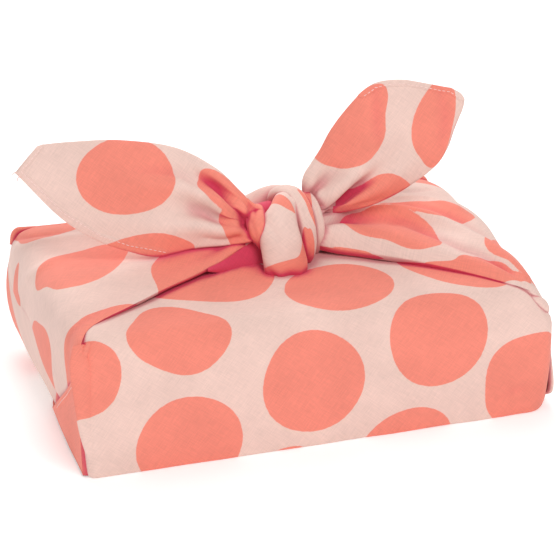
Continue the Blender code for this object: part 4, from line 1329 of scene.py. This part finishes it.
def blend(tree, factor, first, second, kind="MIX"):
    made = node(tree, "ShaderNodeMix", data_type="RGBA", blend_type=kind)
    for label, value in (("Factor", factor), ("A", first), ("B", second)):
        socket = next(s for s in made.inputs if s.name == label and s.enabled)
        if isinstance(value, (tuple, float)):
            socket.default_value = value
        else:
            tree.links.new(value, socket)
    return next(s for s in made.outputs if s.enabled)


def cotton_material():
    material = bpy.data.materials.new("printed_cotton")
    material.use_nodes = True
    tree = material.node_tree
    shader = tree.nodes["Principled BSDF"]
    fill(shader, {"Roughness": 0.85, "Specular IOR Level": 0.25})
    fill(shader, {"Sheen Weight": 0.12, "Sheen Roughness": 0.5})
    place = node(tree, "ShaderNodeUVMap", uv_map="print_place")
    in_mm = node(tree, "ShaderNodeMapping")
    in_mm.inputs["Scale"].default_value = TO_MM
    tree.links.new(place.outputs["UV"], in_mm.inputs["Vector"])
    weave = node(tree, "ShaderNodeGroup", node_tree=WEAVE)
    fill(weave, {"Thread Pitch": THREAD_PITCH, "Slub Length": SLUB_LENGTH})
    tree.links.new(in_mm.outputs["Vector"], weave.inputs["Place"])

    wander = node(tree, "ShaderNodeTexNoise", noise_dimensions="2D")
    wander.inputs["Scale"].default_value = 0.35
    tree.links.new(in_mm.outputs["Vector"], wander.inputs["Vector"])
    uneven = ramp(tree, wander.outputs["Fac"], 0.0, 1.0, -0.00025, 0.00025)
    edge = arithmetic(tree, "ADD", attribute_value(tree, "dot_edge"), uneven)
    dots = ramp(tree, edge, -EDGE_SOFTNESS, EDGE_SOFTNESS)
    # Painted shade: deep in a fold or sheltered by other cloth, the colour is painted darker and redder.
    pressed = ramp(tree, attribute_value(tree, "fold_shade_depth"), -0.0004, -FULL_DEPTH)
    sheltered = ramp(tree, attribute_value(tree, "shelter"), *SHELTER_SPAN, smooth=True)
    painted_shade = arithmetic(tree, "ADD", pressed, sheltered, clamp=True)
    ground = blend(tree, painted_shade, GROUND_COLOUR, GROUND_IN_PAINTED_SHADE)
    spot = blend(tree, painted_shade, DOT_COLOUR, DOT_IN_PAINTED_SHADE)
    printed = blend(tree, dots, ground, spot)
    patchy = node(tree, "ShaderNodeTexNoise", noise_dimensions="2D")
    patchy.inputs["Scale"].default_value = 0.035
    tree.links.new(in_mm.outputs["Vector"], patchy.inputs["Vector"])
    mottle = ramp(tree, patchy.outputs["Fac"], 0.3, 0.7, 0.955, 1.02)
    streaky = ramp(tree, weave.outputs["Streaks"], 0.3, 0.7, 0.92, 1.05)
    shade = arithmetic(tree, "MULTIPLY", mottle, streaky)
    grey = node(tree, "ShaderNodeCombineColor")
    for socket in grey.inputs:
        tree.links.new(shade, socket)
    final = blend(tree, 1.0, printed, grey.outputs[0], "MULTIPLY")
    tree.links.new(final, shader.inputs["Base Color"])

    hem = ramp(tree, attribute_value(tree, "hem_edge"), HEM_WIDTH + 0.0003, HEM_WIDTH - 0.0003, smooth=True)
    height = arithmetic(tree, "ADD", arithmetic(tree, "MULTIPLY", weave.outputs["Height"], 0.10), hem)
    bump = node(tree, "ShaderNodeBump")
    fill(bump, {"Strength": 0.55, "Distance": 0.0005})
    tree.links.new(height, bump.inputs["Height"])
    tree.links.new(bump.outputs["Normal"], shader.inputs["Normal"])
    return material


cloth_mesh.materials.append(cotton_material())
print("material:", cloth_mesh.materials[0].name)

# %% [markdown]
# ## Stitches
# A hem is held by one row of lockstitch in pale thread, a stitch of 1.8 mm every 2.4 mm. Each
# row follows the hem line at a fixed distance, so it is what Geometry Nodes are for: a curve is walked at one
# pitch, and one small rounded stitch is set at each step, turned along the curve.

# %% Paths of the stitching
STITCH_PITCH, STITCH_LENGTH, STITCH_THICK = 0.0024, 0.0018, 0.00038
NEAR_POINTS, STITCH_LIFT = 8, 0.00012


def on_sheet(sheet, place):
    """The point of a sheet at a flat print place, from a plane fitted through its nearest points."""
    flat = sheet["places"].reshape(-1, 2)
    away = ((flat - place) ** 2).sum(1)
    near = np.argsort(away)[:NEAR_POINTS]
    weight = np.exp(-away[near] / (2 * away[near].mean() + 1e-12))[:, None]
    known = np.column_stack([flat[near] - place, np.ones(len(near))])
    wanted = (sheet["points"] + STITCH_LIFT * sheet["normals"]).reshape(-1, 3)[near]
    return np.linalg.lstsq(known * weight, wanted * weight, rcond=None)[0][2]


def path_curve(name, paths):
    """A curve of straight spans through each row of points."""
    curve = bpy.data.curves.new(name, "CURVE")
    curve.dimensions = "3D"
    for path in paths:
        spline = curve.splines.new("POLY")
        spline.points.add(len(path) - 1)
        spline.points.foreach_set("co", np.column_stack([path, np.ones(len(path))]).ravel())
    return curve


sheet_named = {sheet["name"]: sheet for sheet in SHEETS}
seams = []
for name, (line, beside) in HEM_LINES.items():
    places = inset_line(line, beside, STITCH_INSET)
    seams.append(np.array([on_sheet(sheet_named[name], place) for place in places]))
seam_paths = add_object("seam_paths", path_curve("seam_paths", seams))
print(len(HEM_LINES), "rows of stitching")

# %% [markdown]
# The thread could be one plain colour, but a real one is twisted. It uses the weave group again, far finer,
# and reads Object coordinates, because a stitch has no place on the flat print.

# %% Sewing thread
THREAD_COLOUR, THREAD_LIGHT = (0.88, 0.60, 0.56, 1.0), (0.97, 0.78, 0.74, 1.0)


def thread_material():
    material = plain_material("sewing_thread", THREAD_COLOUR, 0.7)
    tree = material.node_tree
    shader = tree.nodes["Principled BSDF"]
    where = node(tree, "ShaderNodeTexCoord")
    in_mm = node(tree, "ShaderNodeMapping")
    in_mm.inputs["Scale"].default_value = TO_MM
    tree.links.new(where.outputs["Object"], in_mm.inputs["Vector"])
    twist = node(tree, "ShaderNodeGroup", node_tree=WEAVE)
    fill(twist, {"Thread Pitch": 0.12, "Slub Length": 0.5})
    tree.links.new(in_mm.outputs["Vector"], twist.inputs["Place"])
    bump = node(tree, "ShaderNodeBump")
    fill(bump, {"Strength": 0.4, "Distance": 0.0001})
    tree.links.new(twist.outputs["Height"], bump.inputs["Height"])
    tree.links.new(bump.outputs["Normal"], shader.inputs["Normal"])
    uneven = ramp(tree, twist.outputs["Streaks"], 0.3, 0.7)
    colour = blend(tree, uneven, THREAD_COLOUR, THREAD_LIGHT)
    tree.links.new(colour, shader.inputs["Base Color"])
    return material


THREAD = thread_material()
print("material:", THREAD.name)

# %% [markdown]
# The tree walks a curve at one pitch and sets a small ball at each step, stretched along the curve. The
# pitch, length and thickness are named inputs, so they can be changed without opening the tree.

# %% Stitch tree
def stitch_tree():
    sockets = [("Geometry", "INPUT", "Geometry")]
    sockets += [(label, "INPUT", "Float") for label in ("Pitch", "Length", "Thickness")]
    sockets += [("Thread", "INPUT", "Material"), ("Geometry", "OUTPUT", "Geometry")]
    tree, entry, leave = new_tree("row_of_stitches", "GeometryNodeTree", sockets)
    steps = node(tree, "GeometryNodeCurveToPoints", mode="LENGTH")
    stitch = node(tree, "GeometryNodeMeshUVSphere")
    fill(stitch, {"Segments": 8, "Rings": 6, "Radius": 0.5})
    size = node(tree, "ShaderNodeCombineXYZ")
    for axis, label in (("X", "Thickness"), ("Y", "Thickness"), ("Z", "Length")):
        tree.links.new(entry.outputs[label], size.inputs[axis])
    sew = node(tree, "GeometryNodeInstanceOnPoints")
    real = node(tree, "GeometryNodeRealizeInstances")
    colour = node(tree, "GeometryNodeSetMaterial")
    tree.links.new(entry.outputs["Geometry"], steps.inputs["Curve"])
    tree.links.new(entry.outputs["Pitch"], steps.inputs["Length"])
    tree.links.new(steps.outputs["Points"], sew.inputs["Points"])
    tree.links.new(stitch.outputs["Mesh"], sew.inputs["Instance"])
    tree.links.new(steps.outputs["Rotation"], sew.inputs["Rotation"])
    tree.links.new(size.outputs[0], sew.inputs["Scale"])
    tree.links.new(sew.outputs[0], real.inputs[0])
    tree.links.new(real.outputs[0], colour.inputs["Geometry"])
    tree.links.new(entry.outputs["Thread"], colour.inputs["Material"])
    tree.links.new(colour.outputs[0], leave.inputs["Geometry"])
    return tree


# %% [markdown]
# The tree's inputs are set by their identifiers. Then its result is made a plain mesh, and the curve isn't
# needed any more.

# %% Sew the hems
def finished(name, source):
    """The evaluated object as a plain mesh object at the origin, and its source is removed."""
    made = bpy.data.meshes.new_from_object(source.evaluated_get(bpy.context.evaluated_depsgraph_get()))
    made.name = name
    piece = add_object(name, made)
    bpy.data.objects.remove(source)
    return piece


sewing = seam_paths.modifiers.new("stitching", "NODES")
sewing.node_group = stitch_tree()
settings = {"Pitch": STITCH_PITCH, "Length": STITCH_LENGTH, "Thickness": STITCH_THICK, "Thread": THREAD}
for socket in sewing.node_group.interface.items_tree:
    if socket.in_out == "INPUT" and socket.name in settings:
        sewing[socket.identifier] = settings[socket.name]
hem_stitches = finished("hem_stitches", seam_paths)
hem_stitches.data.polygons.foreach_set("use_smooth", np.ones(len(hem_stitches.data.polygons), bool))
print(len(hem_stitches.data.polygons), "faces of stitches")

# %% [markdown]
# ## Loose thread ends
# At the tip of the left ear the two rows of stitching end in short tails. Each is a thin curve given a
# round section, then turned into a plain mesh.

# %% Thread ends at the tip
TAIL_THICK, TAIL_STEPS = 0.00030, 6
EAR_TIP = (-118.4, 30.8)
# across and up from the ear's tip, and out towards the viewer, in mm
TAILS = [
    [(1.0, 0.4, 0.6), (-0.2, 0.0, 0.9), (-1.2, -0.8, 1.4), (-1.9, -1.2, 2.0)],
    [(2.0, -1.2, 0.6), (1.6, -2.6, 1.0), (0.8, -3.6, 1.3), (0.9, -4.8, 1.8)],
]
along, up, face, neck = ear_axes("left_ear")
ear_tip = neck + (EAR_TIP[0] * along + EAR_TIP[1] * up) * MM
tails = []
for rows in TAILS:
    steps = smooth_rows(rows, TAIL_STEPS)
    tails.append(np.array([ear_tip + (a * along + b * up + c * face) * MM for a, b, c in steps]))
tail_curve = path_curve("tail_paths", tails)
tail_curve.bevel_depth = TAIL_THICK
tail_curve.bevel_resolution = 2
tail_curve.use_fill_caps = True
tail_paths = add_object("tail_paths", tail_curve)
thread_ends = finished("loose_thread_ends", tail_paths)
thread_ends.data.materials.clear()
thread_ends.data.materials.append(THREAD)
print(len(TAILS), "thread ends")

# %% [markdown]
# ## Hand over
# The cloth takes the place of the solid's one node, and the stitches and thread ends move with it. Its flat
# size is the whole square's, which is more than the surface drawn here, because turned-in cloth doesn't show.

# %% Tie the cloth to the model
for piece in (cloth, hem_stitches, thread_ends):
    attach(piece, "root")
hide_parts("wrap_cloth")
